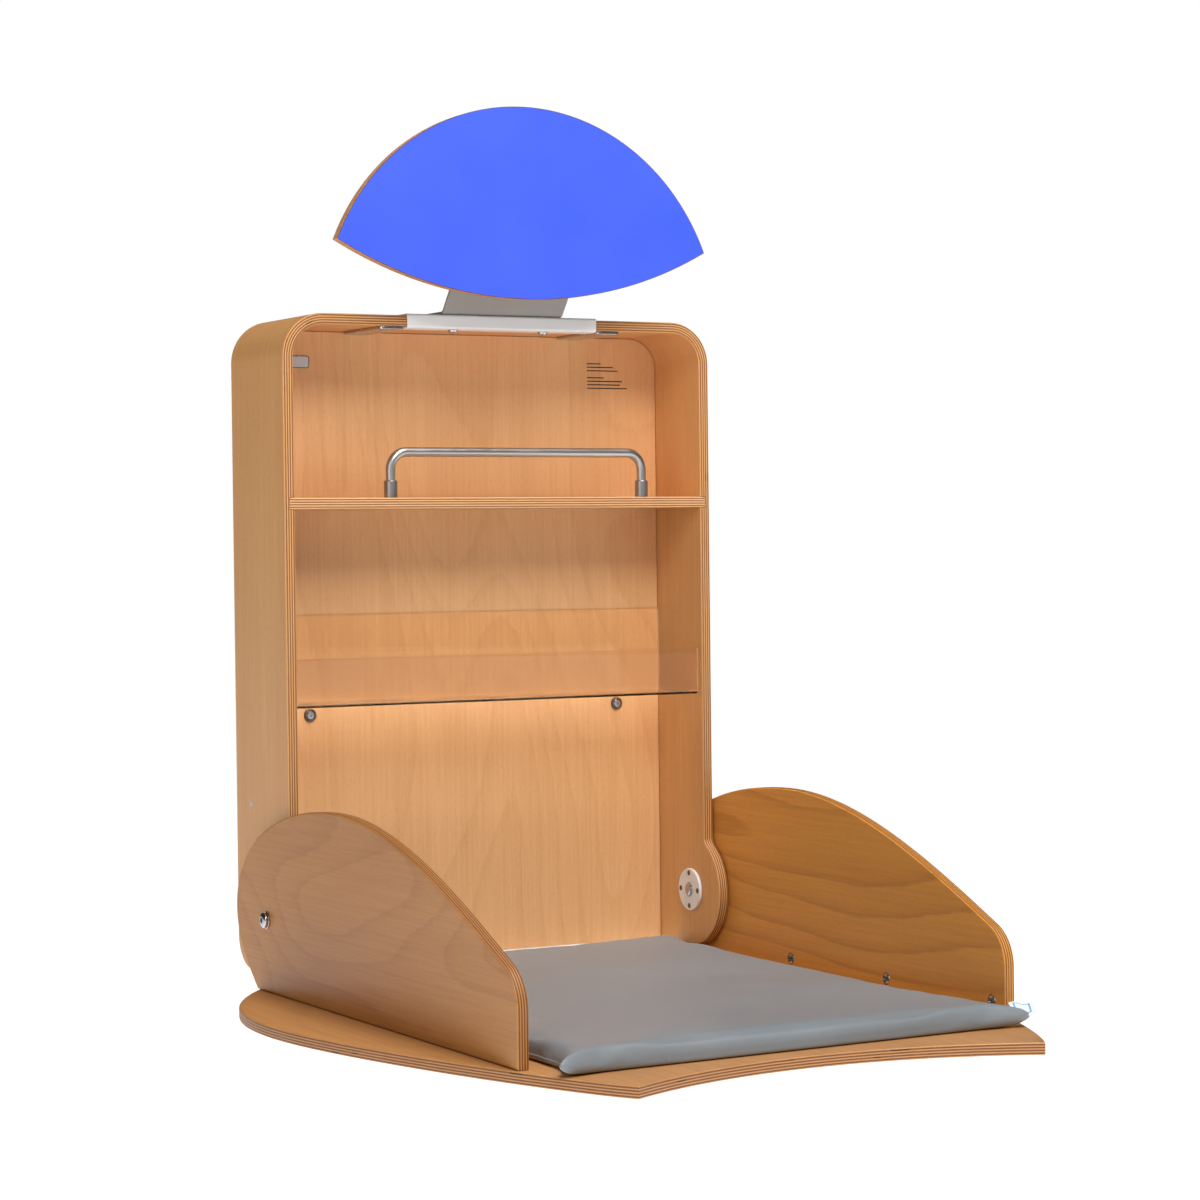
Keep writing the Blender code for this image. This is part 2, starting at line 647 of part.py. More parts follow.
def make_straps(hoop):
    face = UNDERSIDE - FIT - STRAP_SHEET
    for side, sign in SIDES:
        centre = sign * STRAP_CENTRE
        outline = rounded_rectangle(
            centre - STRAP_WIDTH / 2,
            centre + STRAP_WIDTH / 2,
            -CABINET_DEPTH,
            STRAP_LENGTH - CABINET_DEPTH,
            STRAP_CORNER,
        )
        strap = board("strap_" + side, outline, STRAP_SHEET, "Z", face + STRAP_SHEET / 2, STEEL, CABINET)
        middle = CABINET_DEPTH - STRAP_LENGTH / 2
        for place_name, step in (("front", 0.5), ("rear", -0.5)):
            location = (centre, -(middle + step * STRAP_SCREW_SPACING), face)
            sizes = (SCREW_HEAD, SCREW_SHANK, SCREW_HEAD_DEPTH, STRAP_SCREW_LENGTH)
            name = "strap_screw_" + side + "_" + place_name
            screw_in(name, sizes, "-Z", location, STEEL, CABINET, (strap, hoop))


# Screws in the cabinet

def make_wall_screws(panel, batten):
    seat = PANEL_FRONT + FIT
    hole, rim = WALL_SHANK + FIT, ROSETTE_HEIGHT
    dish = [(hole, ROSETTE_SHEET), (WALL_HEAD + FIT, rim), (ROSETTE_RADIUS - ROSETTE_LIP, rim)]
    dish += [(ROSETTE_RADIUS, rim - ROSETTE_ROUND), (ROSETTE_RADIUS, 0), (hole, 0)]
    length = seat + WALL_GAP - WALL_SCREW_SHORT
    profile = [(0, rim + WALL_HEAD_RISE), (WALL_HEAD - ROSETTE_LIP, rim + WALL_HEAD_RISE / 2)]
    profile += [(WALL_HEAD - FIT, rim - FIT), (WALL_SHANK, ROSETTE_SHEET + FIT)]
    profile += [(WALL_SHANK, -length), (0, -length)]
    for side, sign in SIDES:
        location = (sign * (INSIDE - WALL_SCREW_INSET), -seat, WALL_SCREW_HEIGHT)
        turned("wall_rosette_" + side, dish, "-Y", location, STEEL, CABINET, FINE_TURN_STEPS, closed=True)
        turned("wall_screw_" + side, profile, "-Y", location, STEEL, CABINET, FINE_TURN_STEPS)
        name = "wall_screw_hole_" + side
        drill(name, hole, "-Y", location, -length - BEYOND, BEYOND, (panel, batten), CABINET)


def make_side_screws(hoop, panel):
    sizes = (SCREW_HEAD, SCREW_SHANK, SCREW_HEAD_DEPTH, SIDE_SCREW_LENGTH)
    for side, sign in SIDES:
        location = (sign * HALF_WIDTH, -(PANEL_SETBACK + PANEL / 2), SIDE_SCREW_HEIGHT)
        screw_in("side_screw_" + side, sizes, OUTWARDS[side], location, STEEL, CABINET, (hoop, panel))


# Pivots

def make_bushes(hoop):
    """Flanged bushes in the noses. Heights run outwards from the cabinet side's inner face."""
    end = PLY + BUSH_PROUD
    face = -FIT - BUSH_FLANGE
    bore = BARREL_RADIUS + FIT
    profile = [(bore, end), (BUSH_SLEEVE_RADIUS, end), (BUSH_SLEEVE_RADIUS, -FIT), (BUSH_RADIUS, -FIT)]
    profile += [(BUSH_RADIUS, face + BUSH_CHAMFER), (BUSH_RADIUS - BUSH_CHAMFER, face), (bore, face)]
    sizes = (SCREW_HEAD, SCREW_SHANK, SCREW_HEAD_DEPTH, BUSH_SCREW_LENGTH)
    for side, sign in SIDES:
        location = (sign * INSIDE, -PIVOT_FORWARD, PIVOT_HEIGHT)
        outwards = OUTWARDS[side]
        bush = turned("pivot_bush_" + side, profile, outwards, location, WHITE_PLASTIC, CABINET, closed=True)
        name = "bush_hole_" + side
        drill(name, BUSH_SLEEVE_RADIUS + FIT, outwards, location, -BEYOND, PLY + BEYOND, (hoop,), CABINET)
        for number in range(4):
            angle = number * math.pi / 2
            across, up = BUSH_SCREW_CIRCLE * math.cos(angle), BUSH_SCREW_CIRCLE * math.sin(angle)
            spot = (sign * (INSIDE + face), -PIVOT_FORWARD + across, PIVOT_HEIGHT + up)
            name = f"bush_screw_{side}_{number + 1}"
            screw_in(name, sizes, INWARDS[side], spot, STEEL, CABINET, (bush, hoop))


def make_pivots(panels):
    """Barrel, washer and bolt of each pivot. Heights run outwards from the cabinet side's inner face."""
    end = PLY + SIDE_GAP - FIT
    seat = -FIT - BUSH_FLANGE
    bore = PIVOT_BOLT_RADIUS + FIT
    barrel = [(0, end - BARREL_BORE), (bore, end - BARREL_BORE), (bore, end), (BARREL_RADIUS, end)]
    barrel += dome(BARREL_RADIUS, -BARREL_DOME, seat)
    face = PLY + SIDE_GAP + PLY + FIT
    under = face + WASHER_SHEET
    ring = [(bore, under), (WASHER_RADIUS, under), (WASHER_RADIUS, face), (bore, face)]
    under += FIT
    rim, tip = PIVOT_HEAD_HEIGHT * PIVOT_HEAD_RIM, end - BARREL_BORE + FIT
    bolt = dome(PIVOT_HEAD_RADIUS, PIVOT_HEAD_HEIGHT - rim, under + rim)[::-1]
    bolt += [(PIVOT_HEAD_RADIUS, under), (PIVOT_BOLT_RADIUS, under), (PIVOT_BOLT_RADIUS, tip), (0, tip)]
    corner = PIVOT_SOCKET / math.cos(math.pi / SOCKET_STEPS)
    socket = [(0, BEYOND), (corner, BEYOND), (corner, -PIVOT_SOCKET), (0, -PIVOT_SOCKET)]
    for (side, sign), panel in zip(SIDES, panels):
        location, outwards = (sign * INSIDE, 0, 0), OUTWARDS[side]
        turned("pivot_barrel_" + side, barrel, outwards, location, STEEL, LEAF)
        turned("pivot_washer_" + side, ring, outwards, location, STEEL, LEAF, closed=True)
        head = turned("pivot_bolt_" + side, bolt, outwards, location, STEEL, LEAF)
        drill("pivot_hole_" + side, bore, outwards, location, PLY, face + BEYOND, (panel,), LEAF)
        spot = (sign * (INSIDE + under + PIVOT_HEAD_HEIGHT), 0, 0)
        cut(head, turned("pivot_socket_" + side, socket, outwards, spot, None, LEAF, SOCKET_STEPS))


# Leaf boards

def floor_half():
    """Right half of the leaf's floor: along the front edge from the middle, down the side, to the rear."""
    tip_forward = LEAF_REACH + sagitta(NEST_RADIUS, LEAF_TIP)
    widest = LEAF_OUTSIDE + FLOOR_OVERHANG
    sweep = math.degrees(math.asin(LEAF_TIP / NEST_RADIUS))
    front = arc((0, -(LEAF_REACH + NEST_RADIUS)), NEST_RADIUS, 90, 90 - sweep, EDGE_STEPS)
    tip, belly = front[-1], (widest, -FLOOR_WIDEST)
    rear = (LEAF_OUTSIDE - FLOOR_REAR_INSET, FLOOR_REAR)
    long_run, short_run = tip_forward - FLOOR_WIDEST, FLOOR_WIDEST + FLOOR_REAR
    back = TIP_HANDLE * long_run
    leaving = (tip[0] + TIP_SLOPE * back, tip[1] + back)
    ahead, behind = BELLY_HANDLES
    side = bezier(tip, leaving, (widest, -FLOOR_WIDEST - ahead * long_run), belly)
    arriving = (rear[0] + CORNER_SWING * (widest - rear[0]), rear[1] - CORNER_HANDLE * short_run)
    corner = bezier(belly, (widest, -FLOOR_WIDEST + behind * short_run), arriving, rear)
    return front + side + corner


def side_outline():
    """A leaf side in the YZ plane, from its rear foot over its crown to its front foot."""
    foot = FLOOR_TOP + FIT
    rear_foot, rear = (SIDE_REAR_FOOT, foot), (SIDE_REAR, SIDE_REAR_HEIGHT)
    crown = (-SIDE_CROWN_FORWARD, SIDE_CROWN)
    shoulder_end = (-SIDE_FRONT, FLOOR_TOP + SHOULDER_FOOT)
    shoulder = (shoulder_end[0] + SHOULDER_RUN, shoulder_end[1] + SHOULDER_DROP)
    slope = Vector((math.cos(SHOULDER_SLOPE), math.sin(SHOULDER_SLOPE)))
    run = SIDE_FRONT - SIDE_CROWN_FORWARD
    below, above = REAR_HANDLES
    heel = (SIDE_REAR_FOOT + FOOT_HANDLE[0], foot + FOOT_HANDLE[1])
    points = [rear_foot] + bezier(rear_foot, heel, (SIDE_REAR, rear[1] - below), rear, ARC_STEPS)
    points += bezier(rear, (SIDE_REAR, rear[1] + above), (crown[0] + CROWN_REAR_HANDLE, crown[1]), crown)
    before = Vector(shoulder) + slope * TOP_HANDLES * run
    points += bezier(crown, (crown[0] - TOP_HANDLES * run, crown[1]), before, shoulder)
    reach = SHOULDER_HANDLES * SHOULDER_DROP
    after, brow = Vector(shoulder) - slope * reach, (shoulder_end[0], shoulder_end[1] + reach)
    points += bezier(shoulder, after, brow, shoulder_end, ARC_STEPS)
    return points + [(-SIDE_FRONT, foot)]


def make_leaf_boards():
    middle = LEAF_INSIDE + PLY / 2
    floor = board("leaf_floor", mirrored(floor_half()), PLY, "Z", FLOOR_TOP - PLY / 2, BEECH, LEAF)
    panels = []
    for side, sign in SIDES:
        panels.append(board("leaf_side_" + side, side_outline(), PLY, "X", sign * middle, BEECH, LEAF))
    return floor, panels


def make_leaf_fixings(floor, panels):
    last = SIDE_FRONT - DOWEL_LAST_INSET
    height = FLOOR_TOP + DOWEL_RISE
    underside = FLOOR_TOP - PLY
    tip = DOWEL_RISE + PLY + DOWEL_RADIUS / 2
    sizes = (FLOOR_BOLT_HEAD, FLOOR_BOLT_RADIUS, FLOOR_BOLT_HEAD - FLOOR_BOLT_RADIUS, tip)
    dowel_shape = [(0, 0), (DOWEL_RADIUS, 0), (DOWEL_RADIUS, -DOWEL_LENGTH), (0, -DOWEL_LENGTH)]
    for (side, sign), panel in zip(SIDES, panels):
        for number, forward in enumerate((DOWEL_FIRST, (DOWEL_FIRST + last) / 2, last), start=1):
            label = f"_{side}_{number}"
            face = (sign * LEAF_INSIDE, -forward, height)
            inwards = INWARDS[side]
            dowel = turned("cross_dowel" + label, dowel_shape, inwards, face, STEEL, LEAF)
            hole_end = -DOWEL_LENGTH - FIT
            drill("dowel_hole" + label, DOWEL_RADIUS + FIT, inwards, face, hole_end, BEYOND, (panel,), LEAF)
            below = (sign * (LEAF_INSIDE + PLY / 2), -forward, underside)
            screw_in("floor_bolt" + label, sizes, "-Z", below, STEEL, LEAF, (floor, panel, dowel))


def make_buffers():
    low_z, high_z = FLOOR_TOP + FIT, -PIVOT_HEIGHT - FIT
    for side, sign in SIDES:
        middle = sign * (HALF_WIDTH - PLY / 2)
        low = (middle - BUFFER_WIDTH / 2, -BUFFER_AHEAD, low_z)
        box("stop_buffer_" + side, low, (middle + BUFFER_WIDTH / 2, BUFFER_BEHIND, high_z), RUBBER, LEAF)


def make_pad():
    edge = INSIDE - PAD_SIDE_GAP
    outline = rounded_rectangle(-edge, edge, PAD_FRONT_INSET - LEAF_REACH, PAD_BEHIND, PAD_CORNER)
    middle = FLOOR_TOP + FIT + PAD_THICKNESS / 2
    board("changing_pad", outline, PAD_THICKNESS, "Z", middle, VINYL, LEAF)


SIDES = (("left", -1), ("right", 1))
OUTWARDS = {"left": "-X", "right": "+X"}
INWARDS = {"left": "+X", "right": "-X"}

hoop_board = make_hoop()
back_board = make_back_panel()
make_shelf()
make_batten("upper_batten", CABINET_HEIGHT - UPPER_BATTEN_DROP - BATTEN_HEIGHT / 2)
screwed_batten = make_batten("lower_batten", WALL_SCREW_HEIGHT)
make_badge()
make_guard_rail()
make_tray()
make_header()
make_cover_bolts((make_edge_cover(), make_neck_bracket(), hoop_board))
make_straps(hoop_board)
make_wall_screws(back_board, screwed_batten)
make_side_screws(hoop_board, back_board)
make_bushes(hoop_board)
leaf_board, side_boards = make_leaf_boards()
make_pivots(side_boards)
make_leaf_fixings(leaf_board, side_boards)
make_buffers()
make_pad()
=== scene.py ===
"""Looks of a wall-hung changing table: a bent-plywood cabinet, its header and the padded leaf that folds up.

Every board is made flat, as a blank with its grain along X and its plies across Z. Its blank's coordinates
are kept as the attribute "grain", which the plywood finish reads, and then it is laid or bent into place.
Metres. The origin is on the wall, +Z is up and -Y is towards the user.
"""

import json
import math

import bpy
from mathutils import Matrix, Vector


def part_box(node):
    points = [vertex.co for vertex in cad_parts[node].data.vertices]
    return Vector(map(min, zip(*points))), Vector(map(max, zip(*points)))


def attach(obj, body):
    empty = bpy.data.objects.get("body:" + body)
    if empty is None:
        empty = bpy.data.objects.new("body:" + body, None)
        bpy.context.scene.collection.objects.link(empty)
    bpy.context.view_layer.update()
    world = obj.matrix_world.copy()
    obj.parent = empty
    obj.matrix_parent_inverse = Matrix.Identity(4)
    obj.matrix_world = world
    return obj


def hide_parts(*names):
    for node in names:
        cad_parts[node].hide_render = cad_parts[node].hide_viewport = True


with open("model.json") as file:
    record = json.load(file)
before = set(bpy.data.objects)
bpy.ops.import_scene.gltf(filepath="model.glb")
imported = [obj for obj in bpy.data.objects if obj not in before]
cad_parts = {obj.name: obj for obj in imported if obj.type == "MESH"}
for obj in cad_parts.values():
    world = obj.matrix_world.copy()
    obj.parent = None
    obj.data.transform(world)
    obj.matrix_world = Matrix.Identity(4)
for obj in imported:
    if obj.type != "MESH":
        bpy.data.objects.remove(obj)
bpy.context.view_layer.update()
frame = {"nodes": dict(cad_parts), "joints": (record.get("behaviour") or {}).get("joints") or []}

# Boards
PLY = 0.012
PLIES = 9
PANEL = 0.009
FIT = 0.0003
BEND_RADIUS = 0.047             # outside of the hoop's corners
BEND_STEPS = 14                 # cuts across each bend
NOSE_FILLET = 0.010             # where a side's front edge runs into its nose
REAR_CORNER = 0.036             # a side's lower rear corner
PIVOT_HEIGHT = 0.063            # above the cabinet's bottom; also the radius of the nose round it
GROOVE = 0.006                  # the shelf's ends go this far into the sides
NEST_RADIUS = 0.458             # the leaf's concave front and the header's lower edge
HEADER_CROWN = 0.1493           # the header's tips to its highest point
FLOOR_WIDEST = 0.213            # the leaf's widest place, in front of the pivot
FLOOR_REAR_INSET = 0.006
SIDE_REAR_FOOT = 0.029          # a leaf side's foot, behind the pivot
SIDE_CROWN_FORWARD = 0.183
SHOULDER_RUN = 0.026
SHOULDER_DROP = 0.0397
SHOULDER_FOOT = 0.053
SHOULDER_SLOPE = math.radians(24.7)
LEAF_TIP_INSET = 0.0416         # the leaf's front tips from the cabinet's sides

# Lengths of the handles that shape the leaf's curves
TIP_HANDLE = 0.12               # leaving the floor's tip, as a share of its long side's run
TIP_SLOPE = 0.73                # how far that handle goes sideways for each step back
BELLY_HANDLES = (0.30, 0.45)    # ahead of the widest place and behind it, as shares of the runs
CORNER_HANDLE = 0.27            # arriving at the rear corner, as a share of the run
CORNER_SWING = 0.6              # how much of the overhang that handle covers
FOOT_HANDLE = (0.027, 0.023)    # a side's rear foot: rearwards and up
REAR_HANDLES = (0.036, 0.070)   # below and above its rearmost point
REAR_LIFT = 1 / 16              # that point's height, as a share of the crown's
CROWN_REAR_HANDLE = 0.150
TOP_HANDLES = 0.32              # of the run from the crown to the shoulder
SHOULDER_HANDLES = 0.43         # of the shoulder's drop

# Holes, all as radii
BUSH_HOLE = 0.0113
PIVOT_HOLE = 0.0053
COVER_BOLT_HOLE = 0.0033
WALL_HOLE = 0.0028
SCREW_SEAT, SCREW_HOLE, SEAT_DEPTH = 0.0034, 0.0018, 0.0017
BOLT_SEAT, BOLT_HOLE, BOLT_SEAT_DEPTH = 0.0063, 0.0033, 0.0031
DOWEL_HOLE_DEPTH = 0.0104
PAST = 0.001                    # how far a cutter runs past what it cuts

# Sheets and tubes
COVER_SHEET, COVER_BEND = 0.0015, 0.0022
NECK_SHEET, NECK_BEND = 0.003, 0.006
NECK_LEAN = math.radians(39)    # from upright
TRAY_SHEET, TRAY_BEND = 0.003, 0.0038
TRAY_LIP = 0.052                # the tray's underside to the top of its lip
STRAP_CORNER = 0.006
RAIL_TUBE, RAIL_SLEEVE, RAIL_BEND = 0.0052, 0.0073, 0.0187

# Small hardware
SCREW_HEAD, SCREW_SHANK, SCREW_HEAD_DEPTH = 0.0031, 0.0015, 0.0016
BUSH_SCREW_CIRCLE = 0.0187
BUSH_SLEEVE, BUSH_FLANGE = 0.011, 0.003
CAP_RADIUS, CAP_DOME, CAP_SHANK = 0.0055, 0.0042, 0.003
ROSETTE_RADIUS = 0.0071
HEADER_SCREW_RADIUS = 0.0042

# Edge rounding
FACE_ROUNDING = 0.0022          # the hoop and the leaf's sides
FLOOR_ROUNDING = 0.0016
SHELF_ROUNDING = 0.0012
HEADER_ROUNDING = 0.0009
PANEL_ROUNDING = 0.0006

# How finely curves are drawn
ARC_STEP = math.radians(4.5)
EDGE_STEPS = 36                 # along one of the leaf's long curves

# Places, all read from the frame
hoop_low, hoop_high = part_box("cabinet_hoop")
shelf_low, shelf_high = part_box("shelf")
panel_low, panel_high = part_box("back_panel")
header_low, header_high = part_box("header_panel")
floor_low, floor_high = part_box("leaf_floor")
pad_low, pad_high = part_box("changing_pad")
PIVOT = Vector(frame["joints"][0]["pos_m"])
HALF_WIDTH = hoop_high.x
REAR, TOP, BOTTOM = hoop_high.y, hoop_high.z, hoop_low.z
FRONT = shelf_low.y
DEPTH = REAR - FRONT
PIVOT_FORWARD = REAR - PIVOT.y
INSIDE = HALF_WIDTH - PLY
LEAF_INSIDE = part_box("leaf_side_right")[0].x
LEAF_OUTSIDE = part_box("leaf_side_right")[1].x

TURNS = {
    "+X": Matrix.Rotation(math.pi / 2, 4, "Y"),
    "-X": Matrix.Rotation(-math.pi / 2, 4, "Y"),
    "+Y": Matrix.Rotation(-math.pi / 2, 4, "X"),
    "-Y": Matrix.Rotation(math.pi / 2, 4, "X"),
    "+Z": Matrix.Identity(4),
    "-Z": Matrix.Rotation(math.pi, 4, "X"),
}
SIDES = (("left", -1), ("right", 1))
INWARDS = {"left": "+X", "right": "-X"}
OUTWARDS = {"left": "-X", "right": "+X"}


# Finishes: small helpers, then groups that several finishes use, then the finishes

def colour(red, green, blue):
    """A colour given 0 to 255, as linear light."""
    def linear(value):
        share = value / 255
        return share / 12.92 if share <= 0.04045 else ((share + 0.055) / 1.055) ** 2.4
    return (linear(red), linear(green), linear(blue), 1.0)


class Nodes:
    """Adds nodes to a tree and joins them. A value may be a socket or a plain number, colour or vector."""

    def __init__(self, tree):
        self.tree = tree

    def fill(self, socket, value):
        if isinstance(value, bpy.types.NodeSocket):
            self.tree.links.new(value, socket)
        else:
            socket.default_value = value

    def add(self, kind, settings=None, **inputs):
        node = self.tree.nodes.new(kind)
        for key, value in (settings or {}).items():
            setattr(node, key, value)
        for key, value in inputs.items():
            self.fill(node.inputs[key.replace("_", " ")], value)
        return node

    def math(self, operation, *values):
        node = self.tree.nodes.new("ShaderNodeMath")
        node.operation = operation
        for socket, value in zip(node.inputs, values):
            self.fill(socket, value)
        return node.outputs[0]

    def vector(self, operation, *values):
        node = self.tree.nodes.new("ShaderNodeVectorMath")
        node.operation = operation
        for socket, value in zip(node.inputs, values):
            self.fill(socket, value)
        return node.outputs["Vector"]

    def ramp(self, value, low, high, to_low=0.0, to_high=1.0):
        node = self.tree.nodes.new("ShaderNodeMapRange")
        node.interpolation_type = "SMOOTHSTEP"
        for key, number in zip((0, 1, 2, 3, 4), (value, low, high, to_low, to_high)):
            self.fill(node.inputs[key], number)
        return node.outputs[0]

    def noise(self, place, scale, detail=2.0, roughness=0.5, distortion=0.0):
        node = self.tree.nodes.new("ShaderNodeTexNoise")
        names = ("Vector", "Scale", "Detail", "Roughness", "Distortion")
        for key, value in zip(names, (place, scale, detail, roughness, distortion)):
            self.fill(node.inputs[key], value)
        return node.outputs["Fac"]

    def mix(self, share, first, second, blend="MIX"):
        node = self.tree.nodes.new("ShaderNodeMix")
        node.data_type = "RGBA"
        node.blend_type = blend
        for key, value in zip((0, 6, 7), (share, first, second)):
            self.fill(node.inputs[key], value)
        return node.outputs[2]


def new_group(name, inputs, outputs):
    """A node group with named sockets, and the Nodes, input and output nodes to fill it."""
    tree = bpy.data.node_groups.new(name, "ShaderNodeTree")
    for socket, kind, start in inputs:
        made = tree.interface.new_socket(socket, in_out="INPUT", socket_type=kind)
        if start is not None:
            made.default_value = start
    for socket, kind in outputs:
        tree.interface.new_socket(socket, in_out="OUTPUT", socket_type=kind)
    return tree, Nodes(tree), tree.nodes.new("NodeGroupInput"), tree.nodes.new("NodeGroupOutput")


FLOAT, COLOUR, VECTOR = "NodeSocketFloat", "NodeSocketColor", "NodeSocketVector"


def plywood_group():
    """Beech plywood: rotary-cut veneer on both faces, and the plies' ends in between."""
    tree, n, given, out = new_group(
        "beech_plywood_layers",
        [
            ("Grain", VECTOR, None),
            ("Thickness", FLOAT, PLY),
            ("Plies", FLOAT, PLIES),
            ("Seed", FLOAT, 0.0),
            ("Figure", FLOAT, 0.5),
            ("Light", COLOUR, (0.7, 0.4, 0.2, 1)),
            ("Dark", COLOUR, (0.4, 0.2, 0.1, 1)),
        ],
        [("Color", COLOUR), ("Roughness", FLOAT), ("Height", FLOAT)],
    )
    split = n.add("ShaderNodeSeparateXYZ", Vector=given.outputs["Grain"])
    along, across, depth = split.outputs
    seed = given.outputs["Seed"]

    def place(along_scale, across_scale, shift):
        stretched = n.add("ShaderNodeCombineXYZ", X=n.math("MULTIPLY", along, along_scale))
        n.fill(stretched.inputs["Y"], n.math("MULTIPLY", across, across_scale))
        n.fill(stretched.inputs["Z"], n.math("ADD", seed, shift))
        return stretched.outputs[0]

    # The figure: contour lines of a slow swell, with teeth where the knife ran out of a ring
    swell = n.noise(place(1.5, 4.6, 0.0), 1.0, 1.0, 0.4, 0.25)
    teeth = n.noise(place(9.0, 150.0, 3.0), 1.0, 3.0)
    rings = n.math("ADD", n.math("MULTIPLY", swell, 15.0), n.math("MULTIPLY", teeth, 0.30))
    ring = n.math("FRACT", rings)
    late = n.math("POWER", ring, 5.0)
    faded = n.ramp(ring, 1.0, 0.93)
    glow = n.math("ADD", n.math("MULTIPLY", late, faded), n.math("MULTIPLY", ring, 0.25))
    figure = n.math("MULTIPLY", glow, given.outputs["Figure"])
    # Fine streaks, pores and flecks along the grain
    streaks = n.noise(place(5.0, 260.0, 7.0), 1.0, 4.0, 0.7)
    bands = n.noise(place(1.2, 16.0, 11.0), 1.0, 3.0, 0.6)
    flecks = n.ramp(n.noise(place(170.0, 1100.0, 17.0), 1.0, 1.0), 0.60, 0.72)
    pores = n.ramp(n.noise(place(60.0, 2400.0, 23.0), 1.0, 2.0), 0.50, 0.75)
    dark_share = n.math("ADD", n.math("MULTIPLY", figure, 0.62), n.math("MULTIPLY", flecks, 0.24))
    dark_share = n.math("ADD", dark_share, n.math("MULTIPLY", pores, 0.10))
    dark_share = n.math("ADD", dark_share, n.ramp(streaks, 0.30, 0.75, 0.0, 0.20))
    dark_share = n.math("ADD", dark_share, n.ramp(bands, 0.30, 0.75, 0.0, 0.16))
    face = n.mix(dark_share, given.outputs["Light"], given.outputs["Dark"])

    # The edge: plies by depth, every second one with its end grain out, and voids in those plies painted near
    # black as painted shade inside the gaps
    wander = n.math("MULTIPLY", n.math("SUBTRACT", n.noise(place(14.0, 14.0, 31.0), 1.0, 1.0), 0.5), 0.20)
    layer = n.math("DIVIDE", depth, given.outputs["Thickness"])
    layer = n.math("ADD", n.math("MULTIPLY", layer, given.outputs["Plies"]), wander)
    number = n.math("FLOOR", layer)
    odd = n.math("MODULO", number, 2.0)
    within = n.math("ABSOLUTE", n.math("SUBTRACT", n.math("FRACT", layer), 0.5))
    glue = n.ramp(within, 0.40, 0.47)
    lengthwise = n.add("ShaderNodeCombineXYZ", X=n.math("MULTIPLY", along, 70.0))
    n.fill(lengthwise.inputs["Y"], n.math("MULTIPLY", across, 70.0))
    n.fill(lengthwise.inputs["Z"], n.math("ADD", n.math("MULTIPLY", number, 3.7), seed))
    mottle = n.noise(lengthwise.outputs[0], 1.0, 3.0, 0.6)
    void = n.math("MULTIPLY", n.ramp(n.noise(lengthwise.outputs[0], 0.40, 1.0), 0.715, 0.74), odd)
    ply_dark = n.math("ADD", n.math("MULTIPLY", odd, 0.78), n.math("MULTIPLY", mottle, 0.26))
    ends = n.mix(1.0, given.outputs["Dark"], colour(186, 166, 148), "MULTIPLY")
    edge = n.mix(n.math("MINIMUM", ply_dark, 1.0), given.outputs["Light"], ends)
    edge = n.mix(n.math("MULTIPLY", glue, 0.50), edge, colour(104, 60, 26))
    # Painted shade: the voids in the odd plies, near black
    edge = n.mix(n.math("MULTIPLY", void, 0.9), edge, colour(38, 20, 10))
    above = n.math("GREATER_THAN", layer, 0.93)
    below = n.math("LESS_THAN", layer, n.math("SUBTRACT", given.outputs["Plies"], 0.93))
    on_edge = n.math("MULTIPLY", above, below)

    n.fill(out.inputs["Color"], n.mix(on_edge, face, edge))
    satin = n.ramp(streaks, 0.2, 0.8, 0.36, 0.45)
    n.fill(out.inputs["Roughness"], n.math("ADD", satin, n.math("MULTIPLY", on_edge, 0.10)))
    low_pores = n.math("MULTIPLY", n.math("ADD", pores, flecks), -0.35)
    low_edge = n.math("MULTIPLY", n.math("ADD", glue, n.math("MULTIPLY", void, 3.0)), -1.0)
    low_pores = n.math("MULTIPLY", low_pores, n.math("SUBTRACT", 1.0, on_edge))
    height = n.math("ADD", low_pores, n.math("MULTIPLY", low_edge, on_edge))
    n.fill(out.inputs["Height"], height)
    return tree


def grit_group():
    """A fine, even roughness such as a sprayed or moulded skin has."""
    tree, n, given, out = new_group(
        "fine_grit",
        [("Place", VECTOR, None), ("Scale", FLOAT, 900.0)],
        [("Height", FLOAT), ("Patches", FLOAT)],
    )
    n.fill(out.inputs["Height"], n.noise(given.outputs["Place"], given.outputs["Scale"], 2.0))
    n.fill(out.inputs["Patches"], n.noise(given.outputs["Place"], 9.0, 3.0))
    return tree


def scratch_group():
    """Brushing along one direction, with a few handling marks."""
    tree, n, given, out = new_group(
        "brushed_marks",
        [("Place", VECTOR, None), ("Stretch", VECTOR, (1, 1, 1))],
        [("Height", FLOAT), ("Roughness", FLOAT), ("Shade", FLOAT)],
    )
    stretched = n.vector("MULTIPLY", given.outputs["Place"], given.outputs["Stretch"])
    lines = n.noise(stretched, 1.0, 4.0, 0.7)
    handled = n.noise(given.outputs["Place"], 40.0, 3.0)
    n.fill(out.inputs["Height"], lines)
    rough = n.math("ADD", n.ramp(lines, 0.3, 0.7, 0.18, 0.23), n.ramp(handled, 0.5, 0.7, 0.0, 0.03))
    n.fill(out.inputs["Roughness"], rough)
    n.fill(out.inputs["Shade"], n.ramp(lines, 0.25, 0.75, 0.96, 1.0))
    return tree


PLYWOOD, GRIT, SCRATCHES = plywood_group(), grit_group(), scratch_group()


def new_finish(name, **sockets):
    """A material with its Principled shader, whose plain values are set here, and the nodes to add to it."""
    material = bpy.data.materials.new(name)
    material.use_nodes = True
    shader = material.node_tree.nodes["Principled BSDF"]
    for key, value in sockets.items():
        shader.inputs[key.replace("_", " ")].default_value = value
    return material, Nodes(material.node_tree), shader


def bump(n, shader, height, strength, distance):
    node = n.add("ShaderNodeBump", Strength=strength, Distance=distance, Height=height)
    n.fill(shader.inputs["Normal"], node.outputs["Normal"])


def object_place(n):
    return n.add("ShaderNodeTexCoord").outputs["Object"]


